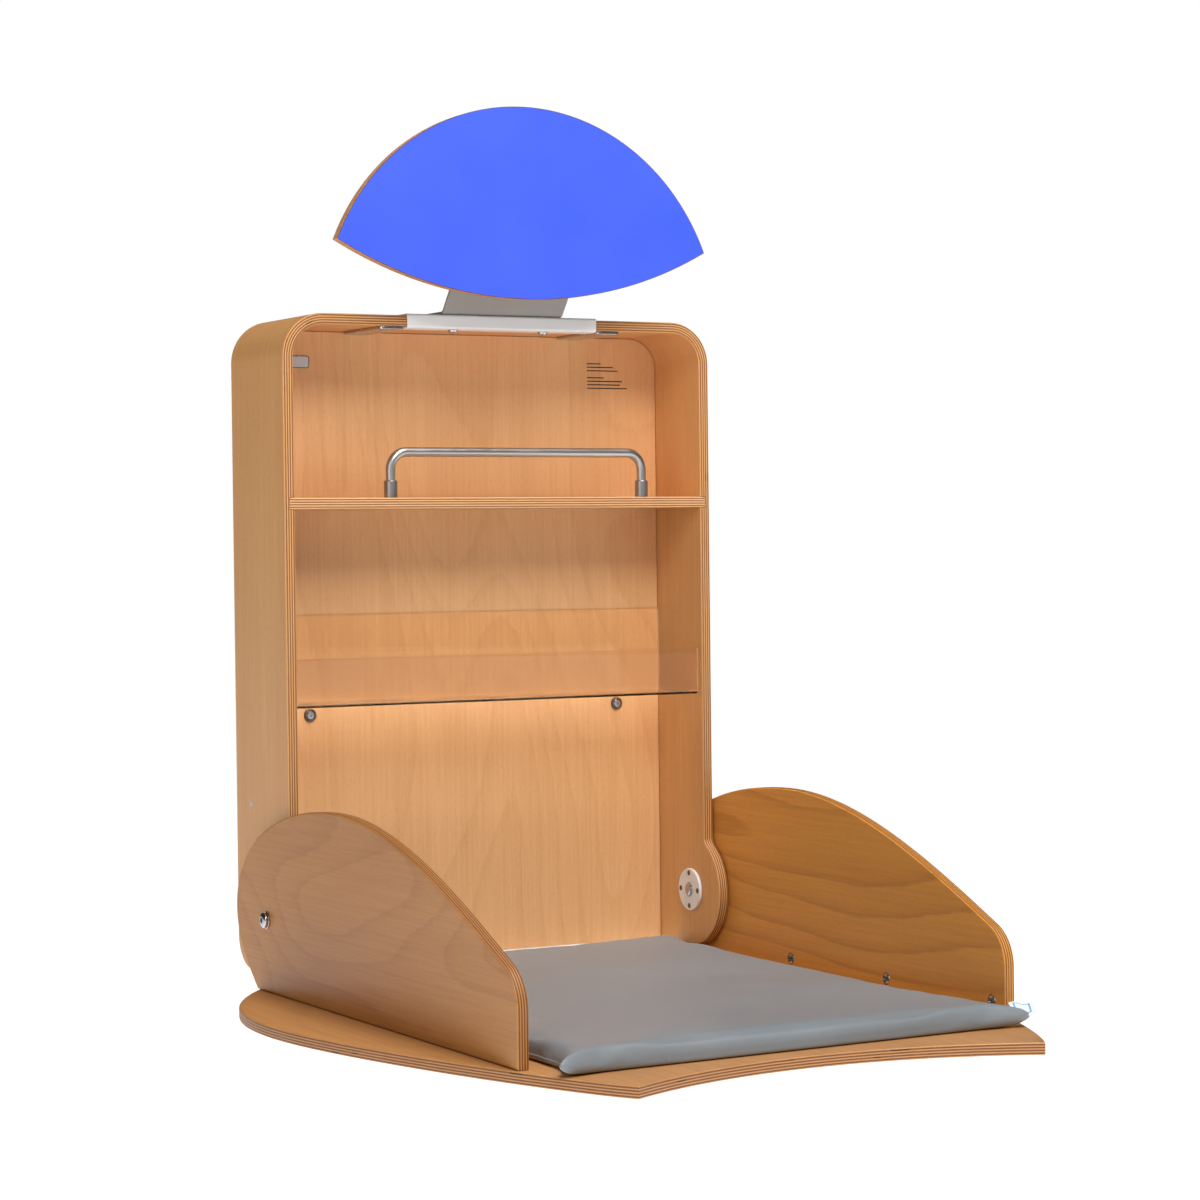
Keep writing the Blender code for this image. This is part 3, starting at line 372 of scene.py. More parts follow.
def plywood(name, seed, figure, light, dark, thickness=PLY, plies=PLIES):
    material, n, shader = new_finish(name, Coat_Weight=0.08, Coat_Roughness=0.25)
    grain = n.add("ShaderNodeAttribute", {"attribute_name": "grain"})
    layers = n.add("ShaderNodeGroup", {"node_tree": PLYWOOD}, Grain=grain.outputs["Vector"])
    names = ("Thickness", "Plies", "Seed", "Figure", "Light", "Dark")
    for key, value in zip(names, (thickness, plies, seed, figure, light, dark)):
        layers.inputs[key].default_value = value
    n.fill(shader.inputs["Base Color"], layers.outputs["Color"])
    n.fill(shader.inputs["Roughness"], layers.outputs["Roughness"])
    bump(n, shader, layers.outputs["Height"], 0.25, 0.0002)
    return material


def gritty(name, base, patch, scale, roughness, strength=0.15):
    """A sprayed, moulded or laminated finish: one colour with faint patches and a fine skin."""
    material, n, shader = new_finish(name, Roughness=roughness)
    grit = n.add("ShaderNodeGroup", {"node_tree": GRIT}, Place=object_place(n), Scale=scale)
    patches = n.ramp(grit.outputs["Patches"], 0.3, 0.7)
    n.fill(shader.inputs["Base Color"], n.mix(patches, base, patch))
    bump(n, shader, grit.outputs["Height"], strength, 0.0002)
    return material


def steel(name, base, stretch, extra=0.0):
    """Brushed or bright metal; the extra is added to its roughness."""
    material, n, shader = new_finish(name, Metallic=1.0)
    marks = n.add("ShaderNodeGroup", {"node_tree": SCRATCHES}, Place=object_place(n), Stretch=stretch)
    shade = n.add("ShaderNodeCombineXYZ")
    for socket in shade.inputs:
        n.fill(socket, marks.outputs["Shade"])
    n.fill(shader.inputs["Base Color"], n.mix(1.0, base, shade.outputs[0], "MULTIPLY"))
    n.fill(shader.inputs["Roughness"], n.math("ADD", marks.outputs["Roughness"], extra))
    bump(n, shader, marks.outputs["Height"], 0.01, 0.0001)
    return material


def vinyl():
    """The pad's cover: fine pebbled grain, worn a little smoother and warmer in patches."""
    material, n, shader = new_finish("grey_vinyl", Sheen_Weight=0.05, Sheen_Roughness=0.5)
    place = object_place(n)
    cells = n.add("ShaderNodeTexVoronoi", {"feature": "SMOOTH_F1"}, Vector=place, Scale=850.0)
    patches = n.noise(place, 6.0, 3.0)
    tint = n.mix(n.ramp(patches, 0.3, 0.7), colour(132, 138, 142), colour(139, 145, 149))
    dark_share = n.math("MULTIPLY", cells.outputs["Distance"], 0.5)
    n.fill(shader.inputs["Base Color"], n.mix(dark_share, tint, colour(114, 119, 123)))
    n.fill(shader.inputs["Roughness"], n.ramp(patches, 0.3, 0.7, 0.40, 0.50))
    soft = n.noise(place, 60.0, 2.0)
    bump(n, shader, n.math("ADD", n.math("MULTIPLY", cells.outputs["Distance"], 0.6), soft), 0.16, 0.0004)
    return material


def acrylic():
    """Clear sheet with faint wiping marks. Rays from the lamps pass through it, so what is behind is lit."""
    material, n, shader = new_finish(
        "clear_acrylic", Base_Color=(0.91, 0.86, 0.80, 1), Transmission_Weight=1.0, IOR=1.3
    )
    place = object_place(n)
    wiped = n.noise(n.vector("MULTIPLY", place, (30.0, 30.0, 160.0)), 1.0, 2.0)
    n.fill(shader.inputs["Roughness"], n.ramp(wiped, 0.4, 0.8, 0.005, 0.03))
    through = n.add("ShaderNodeBsdfTransparent", Color=(0.82, 0.78, 0.74, 1))
    lamps = n.add("ShaderNodeLightPath")
    both = n.add("ShaderNodeMixShader")
    n.fill(both.inputs[0], lamps.outputs["Is Shadow Ray"])
    n.fill(both.inputs[1], shader.outputs[0])
    n.fill(both.inputs[2], through.outputs[0])
    output = material.node_tree.nodes["Material Output"]
    n.fill(output.inputs["Surface"], both.outputs[0])
    return material


def softwood():
    material, n, shader = new_finish("planed_softwood", Roughness=0.6)
    place = n.vector("MULTIPLY", object_place(n), (3.0, 120.0, 120.0))
    rings = n.noise(place, 1.0, 2.0)
    fibres = n.noise(n.vector("MULTIPLY", object_place(n), (30.0, 1500.0, 1500.0)), 1.0, 2.0)
    dark = n.math("ADD", n.ramp(rings, 0.45, 0.6, 0.0, 0.6), n.math("MULTIPLY", fibres, 0.3))
    n.fill(shader.inputs["Base Color"], n.mix(dark, colour(222, 184, 134), colour(180, 130, 78)))
    bump(n, shader, fibres, 0.2, 0.0003)
    return material


# The panel, shelf and header carry the beech's own tone. The pairs for the hoop, the leaf floor and the leaf
# sides are darker, more saturated copies of it: the beech's tone with painted shade in it, darkest on the
# left side and warmest on the right side's inner face.
BEECH_LIGHT, BEECH_DARK = colour(236, 184, 130), colour(190, 126, 68)
HOOP_SHADED_LIGHT, HOOP_SHADED_DARK = colour(222, 166, 106), colour(174, 110, 51)
FLOOR_SHADED_LIGHT, FLOOR_SHADED_DARK = colour(204, 148, 92), colour(152, 94, 46)
SHADED_LEFT_LIGHT, SHADED_LEFT_DARK = colour(194, 133, 68), colour(143, 84, 30)
SHADED_RIGHT_LIGHT, SHADED_RIGHT_DARK = colour(230, 160, 74), colour(174, 104, 34)

finishes = {
    # The hoop, the leaf's floor and its sides take the copies with painted shade in them
    "hoop": plywood("beech_hoop", 2.0, 0.06, HOOP_SHADED_LIGHT, HOOP_SHADED_DARK),
    "panel": plywood("beech_back_panel", 9.0, 0.23, BEECH_LIGHT, BEECH_DARK, PANEL, 7),
    "shelf": plywood("beech_shelf", 14.0, 0.15, BEECH_LIGHT, BEECH_DARK),
    "header": plywood("beech_header", 21.0, 0.25, BEECH_LIGHT, BEECH_DARK),
    "floor": plywood("beech_leaf_floor", 27.0, 0.20, FLOOR_SHADED_LIGHT, FLOOR_SHADED_DARK),
    "leaf_left": plywood("beech_leaf_left", 37.0, 0.38, SHADED_LEFT_LIGHT, SHADED_LEFT_DARK),
    "leaf_right": plywood("beech_leaf_right", 44.0, 0.62, SHADED_RIGHT_LIGHT, SHADED_RIGHT_DARK),
    "softwood": softwood(),
    "white_coat": gritty("white_powder_coat", colour(238, 238, 238), colour(232, 232, 233), 1400.0, 0.42),
    # A darker grey copy of the light coat, for the neck bracket: painted shade under the header
    "shaded_white_coat": gritty("white_powder_coat_painted_shade", colour(150, 145, 140), colour(145, 140, 135), 1400.0, 0.42),
    "blue": gritty("blue_laminate", colour(58, 87, 248), colour(64, 92, 250), 2200.0, 0.42, 0.10),
    "core": gritty("laminate_core", colour(88, 56, 38), colour(70, 44, 30), 1500.0, 0.6),
    "nylon": gritty("white_nylon", colour(240, 237, 231), colour(235, 231, 224), 900.0, 0.45),
    "rubber": gritty("black_rubber", colour(34, 34, 35), colour(46, 45, 45), 1200.0, 0.75, 0.35),
    "badge": gritty("blank_badge", colour(212, 216, 222), colour(205, 209, 216), 1500.0, 0.35),
    "ink": gritty("printed_ink", colour(46, 36, 30), colour(60, 48, 40), 900.0, 0.6),
    "label": gritty("woven_label", colour(232, 236, 240), colour(222, 228, 234), 2600.0, 0.8, 0.4),
    "label_blue": gritty("label_border", colour(120, 178, 214), colour(110, 168, 206), 2600.0, 0.8, 0.4),
    "bright": steel("bright_steel", colour(196, 196, 200), (90.0, 90.0, 90.0)),
    "tube": steel("brushed_tube", colour(186, 183, 180), (20.0, 20.0, 20.0), 0.14),
    "sleeve": steel("matt_sleeve", colour(160, 158, 156), (500.0, 500.0, 30.0), 0.16),
    "strap": steel("brushed_strap", colour(200, 198, 196), (500.0, 12.0, 500.0), 0.04),
    "brass_grey": steel("plated_screw", colour(128, 112, 96), (200.0, 200.0, 200.0), 0.14),
    "vinyl": vinyl(),
    "acrylic": acrylic(),
}


# Modelling

def deselect():
    bpy.ops.object.select_all(action="DESELECT")


def only(obj):
    deselect()
    obj.select_set(True)
    bpy.context.view_layer.objects.active = obj


def edit(obj, mode="EDGE"):
    only(obj)
    bpy.ops.object.mode_set(mode="EDIT")
    bpy.ops.mesh.select_mode(type=mode)


def leave():
    bpy.ops.object.mode_set(mode="OBJECT")


def pick(obj, kind, test):
    """In edit mode: selects the vertices, edges or faces that pass a test."""
    bpy.ops.mesh.select_mode(type=kind)
    bpy.ops.mesh.select_all(action="DESELECT")
    leave()
    elements = {"VERT": obj.data.vertices, "EDGE": obj.data.edges, "FACE": obj.data.polygons}[kind]
    for element in elements:
        element.select = test(element)
    bpy.ops.object.mode_set(mode="EDIT")


def modify(obj, kind, **settings):
    """Adds a modifier and applies it."""
    only(obj)
    modifier = obj.modifiers.new(kind.title(), kind)
    for key, value in settings.items():
        setattr(modifier, key, value)
    bpy.ops.object.modifier_apply(modifier=modifier.name)


def carve(obj, cutter):
    """Cuts one object out of another, and removes the cutter."""
    modify(obj, "BOOLEAN", operation="DIFFERENCE", object=cutter)
    bpy.data.objects.remove(cutter)


def bake_place(obj):
    only(obj)
    bpy.ops.object.transform_apply(location=True, rotation=True, scale=True)


def drill(obj, radius, location, towards, low, high, sides=40):
    """Cuts a round hole that runs from low to high along a direction."""
    deselect()
    bpy.ops.mesh.primitive_cylinder_add(vertices=sides, radius=radius, depth=high - low)
    cutter = bpy.context.object
    cutter.data.transform(Matrix.Translation((0, 0, (low + high) / 2)))
    cutter.data.transform(Matrix.Translation(location) @ TURNS[towards])
    carve(obj, cutter)


def sink(obj, head, shank, depth, length, location, towards):
    """Cuts a countersunk hole, its face at a place and its axis down from it."""
    deselect()
    bpy.ops.mesh.primitive_cone_add(vertices=32, radius1=shank, radius2=head, depth=depth)
    cutter = bpy.context.object
    cutter.data.transform(Matrix.Translation((0, 0, -depth / 2 + 0.00002)))
    cutter.data.transform(Matrix.Translation(location) @ TURNS[towards])
    carve(obj, cutter)
    drill(obj, shank, location, towards, -length, -depth / 2)


def finish(obj, body, finish_name, nodes=(), angle=32, weigh=True):
    """Ends a piece: faces outwards, smooth shading, its finish, its body and the nodes it stands for."""
    bake_place(obj)
    edit(obj)
    bpy.ops.mesh.select_all(action="SELECT")
    bpy.ops.mesh.normals_make_consistent(inside=False)
    leave()
    bpy.ops.object.shade_smooth_by_angle(angle=math.radians(angle))
    if weigh:
        modify(obj, "WEIGHTED_NORMAL", keep_sharp=True, weight=50)
    if finish_name is not None:
        obj.data.materials.clear()
        obj.data.materials.append(finishes[finish_name])
    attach(obj, body)
    if nodes:
        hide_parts(*nodes)
    return obj


def middle_of(node):
    low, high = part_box(node)
    return [(a + b) / 2 for a, b in zip(low, high)]


def face_of(node, towards):
    """A matrix that carries +Z to a direction, and the origin to the face of a node that looks that way."""
    low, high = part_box(node)
    point = (low + high) / 2
    axis = "XYZ".index(towards[1])
    point[axis] = (high if towards[0] == "+" else low)[axis]
    return Matrix.Translation(point) @ TURNS[towards]


def spread_of(node, towards):
    """Radius across a direction, and length along it, of a round node."""
    low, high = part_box(node)
    axis = "XYZ".index(towards[1])
    size = high - low
    return size[(axis + 1) % 3] / 2, size[axis]


def turned(name, rings, sides=40):
    """A turned solid from (radius, height) rings: a disc that is drawn up and scaled from ring to ring."""
    deselect()
    radius, height = rings[0]
    place = (0, 0, height)
    bpy.ops.mesh.primitive_circle_add(vertices=sides, radius=radius, fill_type="NGON", location=place)
    obj = bpy.context.object
    obj.name = name
    bake_place(obj)
    edit(obj, "FACE")
    bpy.ops.mesh.select_all(action="SELECT")
    for new_radius, new_height in rings[1:]:
        rise = (0, 0, new_height - height)
        bpy.ops.mesh.extrude_region_move(TRANSFORM_OT_translate={"value": rise})
        ratio = new_radius / radius
        bpy.ops.transform.resize(value=(ratio, ratio, 1), center_override=(0, 0, new_height))
        radius, height = new_radius, new_height
    bpy.ops.mesh.select_all(action="SELECT")
    bpy.ops.mesh.normals_make_consistent(inside=False)
    leave()
    return obj


def block(name, low, high, rounding=0.0, segments=3):
    """A rectangular block between two corners, with its edges rounded."""
    deselect()
    middle = [(a + b) / 2 for a, b in zip(low, high)]
    size = [b - a for a, b in zip(low, high)]
    bpy.ops.mesh.primitive_cube_add(size=1, location=middle, scale=size)
    obj = bpy.context.object
    obj.name = name
    bake_place(obj)
    if rounding:
        edit(obj)
        bpy.ops.mesh.select_all(action="SELECT")
        bpy.ops.mesh.bevel(offset=rounding, segments=segments, affect="EDGES")
        leave()
    return obj


def copied(original, name, matrix):
    obj = bpy.data.objects.new(name, original.data.copy())
    bpy.context.scene.collection.objects.link(obj)
    obj.data.transform(matrix)
    return obj


def discard(*objects):
    for obj in objects:
        bpy.data.objects.remove(obj)


# Outlines, as points in a plane

def arc(centre, radius, start, end, step=ARC_STEP):
    """Points along an arc, with its angles in degrees."""
    turn = math.radians(end - start)
    count = max(2, round(abs(turn) / step))
    angles = [math.radians(start) + turn * i / count for i in range(count + 1)]
    return [(centre[0] + radius * math.cos(a), centre[1] + radius * math.sin(a)) for a in angles]


def bezier(start, start_handle, end_handle, end, steps=EDGE_STEPS):
    """Points along a cubic curve, without the first."""
    points = []
    for i in range(1, steps + 1):
        t = i / steps
        weights = ((1 - t) ** 3, 3 * t * (1 - t) ** 2, 3 * t * t * (1 - t), t**3)
        knots = (start, start_handle, end_handle, end)
        points.append(tuple(sum(w * k[n] for w, k in zip(weights, knots)) for n in (0, 1)))
    return points


def sagitta(radius, half_chord):
    return radius - math.sqrt(radius**2 - half_chord**2)


def mirrored(half):
    """A closed outline from its right half, which runs from one point of the mirror line to the other."""
    return half + [(-x, y) for x, y in reversed(half) if abs(x) > 1e-6]


def filleted(points, radius, steps=8):
    """A path through 2D points, with its corners rounded."""
    path = [Vector(points[0])]
    for before, corner, after in zip(points, points[1:], points[2:]):
        corner = Vector(corner)
        back = (Vector(before) - corner).normalized()
        on = (Vector(after) - corner).normalized()
        half = back.angle(on) / 2
        centre = corner + (back + on).normalized() * (radius / math.sin(half))
        first = corner + back * (radius / math.tan(half)) - centre
        turn = first.angle_signed(corner + on * (radius / math.tan(half)) - centre)
        path += [centre + Matrix.Rotation(-turn * i / steps, 2) @ first for i in range(steps + 1)]
    return path + [Vector(points[-1])]


# Boards

def blank(name, outline, thickness, rounding):
    """A flat board on z = 0 from its outline, with the edges of both faces rounded."""
    deselect()
    bpy.ops.mesh.primitive_circle_add(vertices=len(outline), radius=1, fill_type="NGON")
    board = bpy.context.object
    board.name = name
    for vertex, point in zip(board.data.vertices, outline):
        vertex.co = (point[0], point[1], 0)
    edit(board, "FACE")
    bpy.ops.mesh.select_all(action="SELECT")
    bpy.ops.mesh.extrude_region_move(TRANSFORM_OT_translate={"value": (0, 0, thickness)})
    bpy.ops.mesh.select_all(action="SELECT")
    bpy.ops.mesh.normals_make_consistent(inside=False)
    if rounding:
        leave()
        heights = [vertex.co.z for vertex in board.data.vertices]
        bpy.ops.object.mode_set(mode="EDIT")
        pick(board, "EDGE", lambda e: abs(heights[e.vertices[0]] - heights[e.vertices[1]]) < 1e-7)
        bpy.ops.mesh.bevel(offset=rounding, segments=3, affect="EDGES")
    leave()
    return board


def keep_grain(board):
    """Writes the blank's own coordinates into the attribute that the plywood finish reads."""
    grain = board.data.attributes.new("grain", "FLOAT_VECTOR", "POINT")
    for vertex, value in zip(board.data.vertices, grain.data):
        value.vector = vertex.co


def lay(board, along, across, depth, corner):
    """Carries a blank into place: the row-frame directions of its three axes, and where its origin goes."""
    matrix = Matrix((along, across, depth)).transposed().to_4x4()
    matrix.translation = corner
    board.data.transform(matrix)


def hoop_run():
    """Half the top's flat, one bend's length outside, and a side's straight."""
    return HALF_WIDTH - BEND_RADIUS, BEND_RADIUS * math.pi / 2, TOP - BEND_RADIUS - BOTTOM


def bend_point(point):
    """Where a point of the hoop's blank is once the blank is bent."""
    flat, bend, _ = hoop_run()
    run, forward, depth = abs(point.x), point.y, point.z
    centre_x, centre_z = HALF_WIDTH - BEND_RADIUS, TOP - BEND_RADIUS
    if run <= flat:
        x, z = run, TOP - depth
    elif run <= flat + bend:
        angle = (run - flat) / BEND_RADIUS
        x = centre_x + (BEND_RADIUS - depth) * math.sin(angle)
        z = centre_z + (BEND_RADIUS - depth) * math.cos(angle)
    else:
        x, z = HALF_WIDTH - depth, centre_z - (run - flat - bend)
    return Vector((math.copysign(x, point.x), REAR - forward, z))


def make_hoop():
    """The cabinet's sides and top: one blank with a nose at each end, grooved, drilled and then bent."""
    flat, bend, straight = hoop_run()
    end = flat + bend + straight
    fillet_y = DEPTH + NOSE_FILLET
    run = fillet_y - PIVOT_FORWARD
    rise = math.sqrt((PIVOT_HEIGHT + NOSE_FILLET) ** 2 - run**2)
    meets = math.degrees(math.atan2(rise, run))
    rear = arc((REAR_CORNER, REAR_CORNER), REAR_CORNER, 180, 270)
    nose = arc((PIVOT_FORWARD, PIVOT_HEIGHT), PIVOT_HEIGHT, -90, meets)
    nose += arc((fillet_y, PIVOT_HEIGHT + rise), NOSE_FILLET, 180 + meets, 180, ARC_STEP * 3)[1:]
    half = [(end - height, forward) for forward, height in rear + nose]
    outline = half + [(-x, y) for x, y in reversed(half)]
    hoop = blank("cabinet_hoop_board", outline, PLY, FACE_ROUNDING)
    for side, sign in SIDES:
        centre = sign * (end - PIVOT_HEIGHT)
        drill(hoop, BUSH_HOLE, (centre, PIVOT_FORWARD, 0), "+Z", -PAST, PLY + PAST, 48)
        _, y, z = middle_of("side_screw_" + side)
        spot = (sign * (end - z + BOTTOM), REAR - y, 0)
        sink(hoop, SCREW_SEAT, SCREW_HOLE, SEAT_DEPTH, 0.014, spot, "-Z")
        top, bottom = end - (shelf_high.z - BOTTOM) - FIT, end - (shelf_low.z - BOTTOM) + FIT
        ends = sorted((sign * top, sign * bottom))
        groove_low = (ends[0], REAR - shelf_high.y, PLY - GROOVE - FIT)
        carve(hoop, block("groove", groove_low, (ends[1], DEPTH + 0.005, PLY + 0.005)))
        for strap_end in ("front", "rear"):
            x, y, _ = middle_of(f"strap_screw_{side}_{strap_end}")
            drill(hoop, SCREW_HOLE, (x, REAR - y, 0), "+Z", PLY - 0.010, PLY + PAST, 20)
        x, y, _ = middle_of("cover_bolt_" + side)
        drill(hoop, COVER_BOLT_HOLE, (x, REAR - y, 0), "+Z", -PAST, PLY + PAST, 24)
    edit(hoop)
    for sign in (-1, 1):
        for i in range(BEND_STEPS + 1):
            bpy.ops.mesh.select_all(action="SELECT")
            cut_x = sign * (flat + bend * i / BEND_STEPS)
            bpy.ops.mesh.bisect(plane_co=(cut_x, 0, 0), plane_no=(1, 0, 0))
    leave()
    keep_grain(hoop)
    for vertex in hoop.data.vertices:
        vertex.co = bend_point(vertex.co)
    finish(hoop, "cabinet", "hoop", ["cabinet_hoop"], angle=24)


def make_back_panel():
    edge, top = panel_high.x, panel_high.z
    radius = BEND_RADIUS - PLY - (INSIDE - edge)
    half = [(0, panel_low.z), (edge, panel_low.z)]
    half += arc((edge - radius, top - radius), radius, 0, 90) + [(0, top)]
    outline = [(z, x) for x, z in mirrored(half)]
    board = blank("back_panel_board", outline, PANEL, PANEL_ROUNDING)
    for side, _ in SIDES:
        x, _, z = middle_of("wall_screw_" + side)
        drill(board, WALL_HOLE, (z, x, 0), "+Z", -PAST, PANEL + PAST, 24)
    keep_grain(board)
    lay(board, (0, 0, 1), (1, 0, 0), (0, 1, 0), (0, panel_low.y, 0))
    finish(board, "cabinet", "panel", ["back_panel"])


def make_shelf():
    low, high = shelf_low, shelf_high
    outline = [(low.x, low.y), (high.x, low.y), (high.x, high.y), (low.x, high.y)]
    board = blank("shelf_board", outline, PLY, SHELF_ROUNDING)
    keep_grain(board)
    lay(board, (1, 0, 0), (0, 1, 0), (0, 0, 1), (0, 0, low.z))
    finish(board, "cabinet", "shelf", ["shelf"])


def header_outline():
    """The lens, from the middle of its lower edge to the tip and back over its crown."""
    tip_x, low = header_high.x, header_low.z
    tip = low + sagitta(NEST_RADIUS, tip_x)
    crown = (tip_x**2 + HEADER_CROWN**2) / (2 * HEADER_CROWN)
    lower = math.degrees(math.asin(tip_x / NEST_RADIUS))
    upper = math.degrees(math.asin(tip_x / crown))
    half = arc((0, low + NEST_RADIUS), NEST_RADIUS, -90, -90 + lower, ARC_STEP / 3)
    half += arc((0, tip + HEADER_CROWN - crown), crown, 90 - upper, 90, ARC_STEP / 3)[1:]
    return mirrored(half)


def make_header():
    board = blank("header_board", header_outline(), PLY, HEADER_ROUNDING)
    keep_grain(board)
    lay(board, (1, 0, 0), (0, 0, 1), (0, 1, 0), (0, header_low.y, 0))
    finish(board, "cabinet", "header", ["header_panel"])
    low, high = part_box("header_facing")
    facing = blank("header_facing_sheet", header_outline(), high.y - low.y, 0)
    edit(facing, "FACE")
    pick(facing, "FACE", lambda f: f.normal.z < -0.9)
    bpy.ops.mesh.inset(thickness=0.0007)
    bpy.ops.mesh.select_all(action="INVERT")
    leave()
    facing.data.materials.append(finishes["blue"])
    facing.data.materials.append(finishes["core"])
    for face in facing.data.polygons:
        face.material_index = 1 if face.select else 0
    lay(facing, (1, 0, 0), (0, 0, 1), (0, 1, 0), (0, low.y, 0))
    finish(facing, "cabinet", None, ["header_facing"])


def leaf_side_outline(foot):
    """A leaf side as (behind, above) the pivot, from its rear foot over its crown to its front foot."""
    low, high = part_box("leaf_side_right")
    rear_reach, crown_height = high.y - PIVOT.y, high.z - PIVOT.z
    front = low.y - PIVOT.y
    rear = (rear_reach, crown_height * REAR_LIFT)
    crown = (-SIDE_CROWN_FORWARD, crown_height)
    shoulder_end = (front, foot - FIT + SHOULDER_FOOT)
    shoulder = (front + SHOULDER_RUN, shoulder_end[1] + SHOULDER_DROP)
    slope = Vector((math.cos(SHOULDER_SLOPE), math.sin(SHOULDER_SLOPE)))
    run = -front - SIDE_CROWN_FORWARD
    heel = (SIDE_REAR_FOOT + FOOT_HANDLE[0], foot + FOOT_HANDLE[1])
    below, above = (rear_reach, rear[1] - REAR_HANDLES[0]), (rear_reach, rear[1] + REAR_HANDLES[1])
    points = [(SIDE_REAR_FOOT, foot)]
    points += bezier(points[0], heel, below, rear, EDGE_STEPS // 2)
    points += bezier(rear, above, (crown[0] + CROWN_REAR_HANDLE, crown[1]), crown)
    before = Vector(shoulder) + slope * TOP_HANDLES * run
    points += bezier(crown, (crown[0] - TOP_HANDLES * run, crown[1]), before, shoulder)
    after = Vector(shoulder) - slope * SHOULDER_HANDLES * SHOULDER_DROP
    turn = (front, shoulder_end[1] + SHOULDER_HANDLES * SHOULDER_DROP)
    points += bezier(shoulder, after, turn, shoulder_end, EDGE_STEPS // 2)
    return points + [(front, foot)]


def make_leaf_sides():
    for side, sign in SIDES:
        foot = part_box("leaf_side_" + side)[0].z - PIVOT.z
        board = blank(f"leaf_{side}_board", leaf_side_outline(foot), PLY, FACE_ROUNDING)
        drill(board, PIVOT_HOLE, (0, 0, 0), "+Z", -PAST, PLY + PAST)
        for number in (1, 2, 3):
            dowel_low, dowel_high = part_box(f"cross_dowel_{side}_{number}")
            middle = (dowel_low + dowel_high) / 2 - PIVOT
            radius = (dowel_high.z - dowel_low.z) / 2 + FIT
            drill(board, radius, (middle.y, middle.z, 0), "+Z", -PAST, DOWEL_HOLE_DEPTH, 32)
            drill(board, BOLT_HOLE, (middle.y, foot, PLY / 2), "+Y", -PAST, middle.z - foot, 20)
        keep_grain(board)
        lay(board, (0, 1, 0), (0, 0, 1), (sign, 0, 0), (sign * LEAF_INSIDE, PIVOT.y, PIVOT.z))
        finish(board, "leaf", "leaf_" + side, ["leaf_side_" + side], angle=28)


def leaf_floor_outline():
    """The leaf's floor as (right, behind the pivot), from the middle of its front to its rear edge."""
    tip_forward = PIVOT.y - floor_low.y
    widest = floor_high.x
    rear = (LEAF_OUTSIDE - FLOOR_REAR_INSET, floor_high.y - PIVOT.y)
    tip_x = HALF_WIDTH - LEAF_TIP_INSET
    reach = tip_forward - sagitta(NEST_RADIUS, tip_x)
    sweep = math.degrees(math.asin(tip_x / NEST_RADIUS))
    half = arc((0, -(reach + NEST_RADIUS)), NEST_RADIUS, 90, 90 - sweep, ARC_STEP / 3)
    tip, belly = half[-1], (widest, -FLOOR_WIDEST)
    long_run = tip_forward - FLOOR_WIDEST
    leaving = (tip[0] + TIP_HANDLE * long_run * TIP_SLOPE, tip[1] + TIP_HANDLE * long_run)
    half += bezier(tip, leaving, (widest, -FLOOR_WIDEST - BELLY_HANDLES[0] * long_run), belly)
    short_run = FLOOR_WIDEST + rear[1]
    arriving = (rear[0] + CORNER_SWING * (widest - rear[0]), rear[1] - CORNER_HANDLE * short_run)
    half += bezier(belly, (widest, -FLOOR_WIDEST + BELLY_HANDLES[1] * short_run), arriving, rear)
    return mirrored(half)


def make_leaf_floor():
    outline = [(y, x) for x, y in leaf_floor_outline()]
    board = blank("leaf_floor_board", outline, PLY, FLOOR_ROUNDING)
    for side, _ in SIDES:
        for number in (1, 2, 3):
            x, y, _ = middle_of(f"floor_bolt_{side}_{number}")
            sink(board, BOLT_SEAT, BOLT_HOLE, BOLT_SEAT_DEPTH, 0.013, (y - PIVOT.y, x, 0), "-Z")
    keep_grain(board)
    lay(board, (0, 1, 0), (1, 0, 0), (0, 0, 1), (0, PIVOT.y, floor_low.z))
    finish(board, "leaf", "floor", ["leaf_floor"], angle=28)


# Sheet metal and acrylic

def sheet_strip(name, path, thickness, half_width, rounding):
    """A sheet folded along a path of (forward, height), the same all across its width, with eased edges."""
    deselect()
    bpy.ops.mesh.primitive_circle_add(vertices=len(path), radius=1, fill_type="NOTHING")
    obj = bpy.context.object
    obj.name = name
    for vertex, (forward, height) in zip(obj.data.vertices, path):
        vertex.co = (-half_width, REAR - forward, height + BOTTOM)
    edit(obj)
    last = len(path) - 1
    pick(obj, "EDGE", lambda e: set(e.vertices) == {0, last})
    bpy.ops.mesh.delete(type="EDGE")
    bpy.ops.mesh.select_all(action="SELECT")
    bpy.ops.mesh.extrude_region_move(TRANSFORM_OT_translate={"value": (2 * half_width, 0, 0)})
    leave()
    modify(obj, "SOLIDIFY", thickness=thickness, offset=0, use_even_offset=True)
    if rounding:
        modify(obj, "BEVEL", width=rounding, segments=2, limit_method="ANGLE", angle_limit=math.radians(60))
    return obj


def height_of(z):
    """Height above the cabinet's bottom."""
    return z - BOTTOM


def make_edge_cover():
    low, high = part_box("edge_cover")
    half_sheet = COVER_SHEET / 2
    rear, front = REAR - high.y, REAR - low.y - half_sheet
    top, bottom = height_of(high.z) - half_sheet, height_of(low.z) + half_sheet
    path = filleted([(rear, top), (front, top), (front, bottom), (rear, bottom)], COVER_BEND)
    cover = sheet_strip("edge_cover_channel", path, COVER_SHEET, high.x, 0.0004)
    finish(cover, "cabinet", "white_coat", ["edge_cover"])


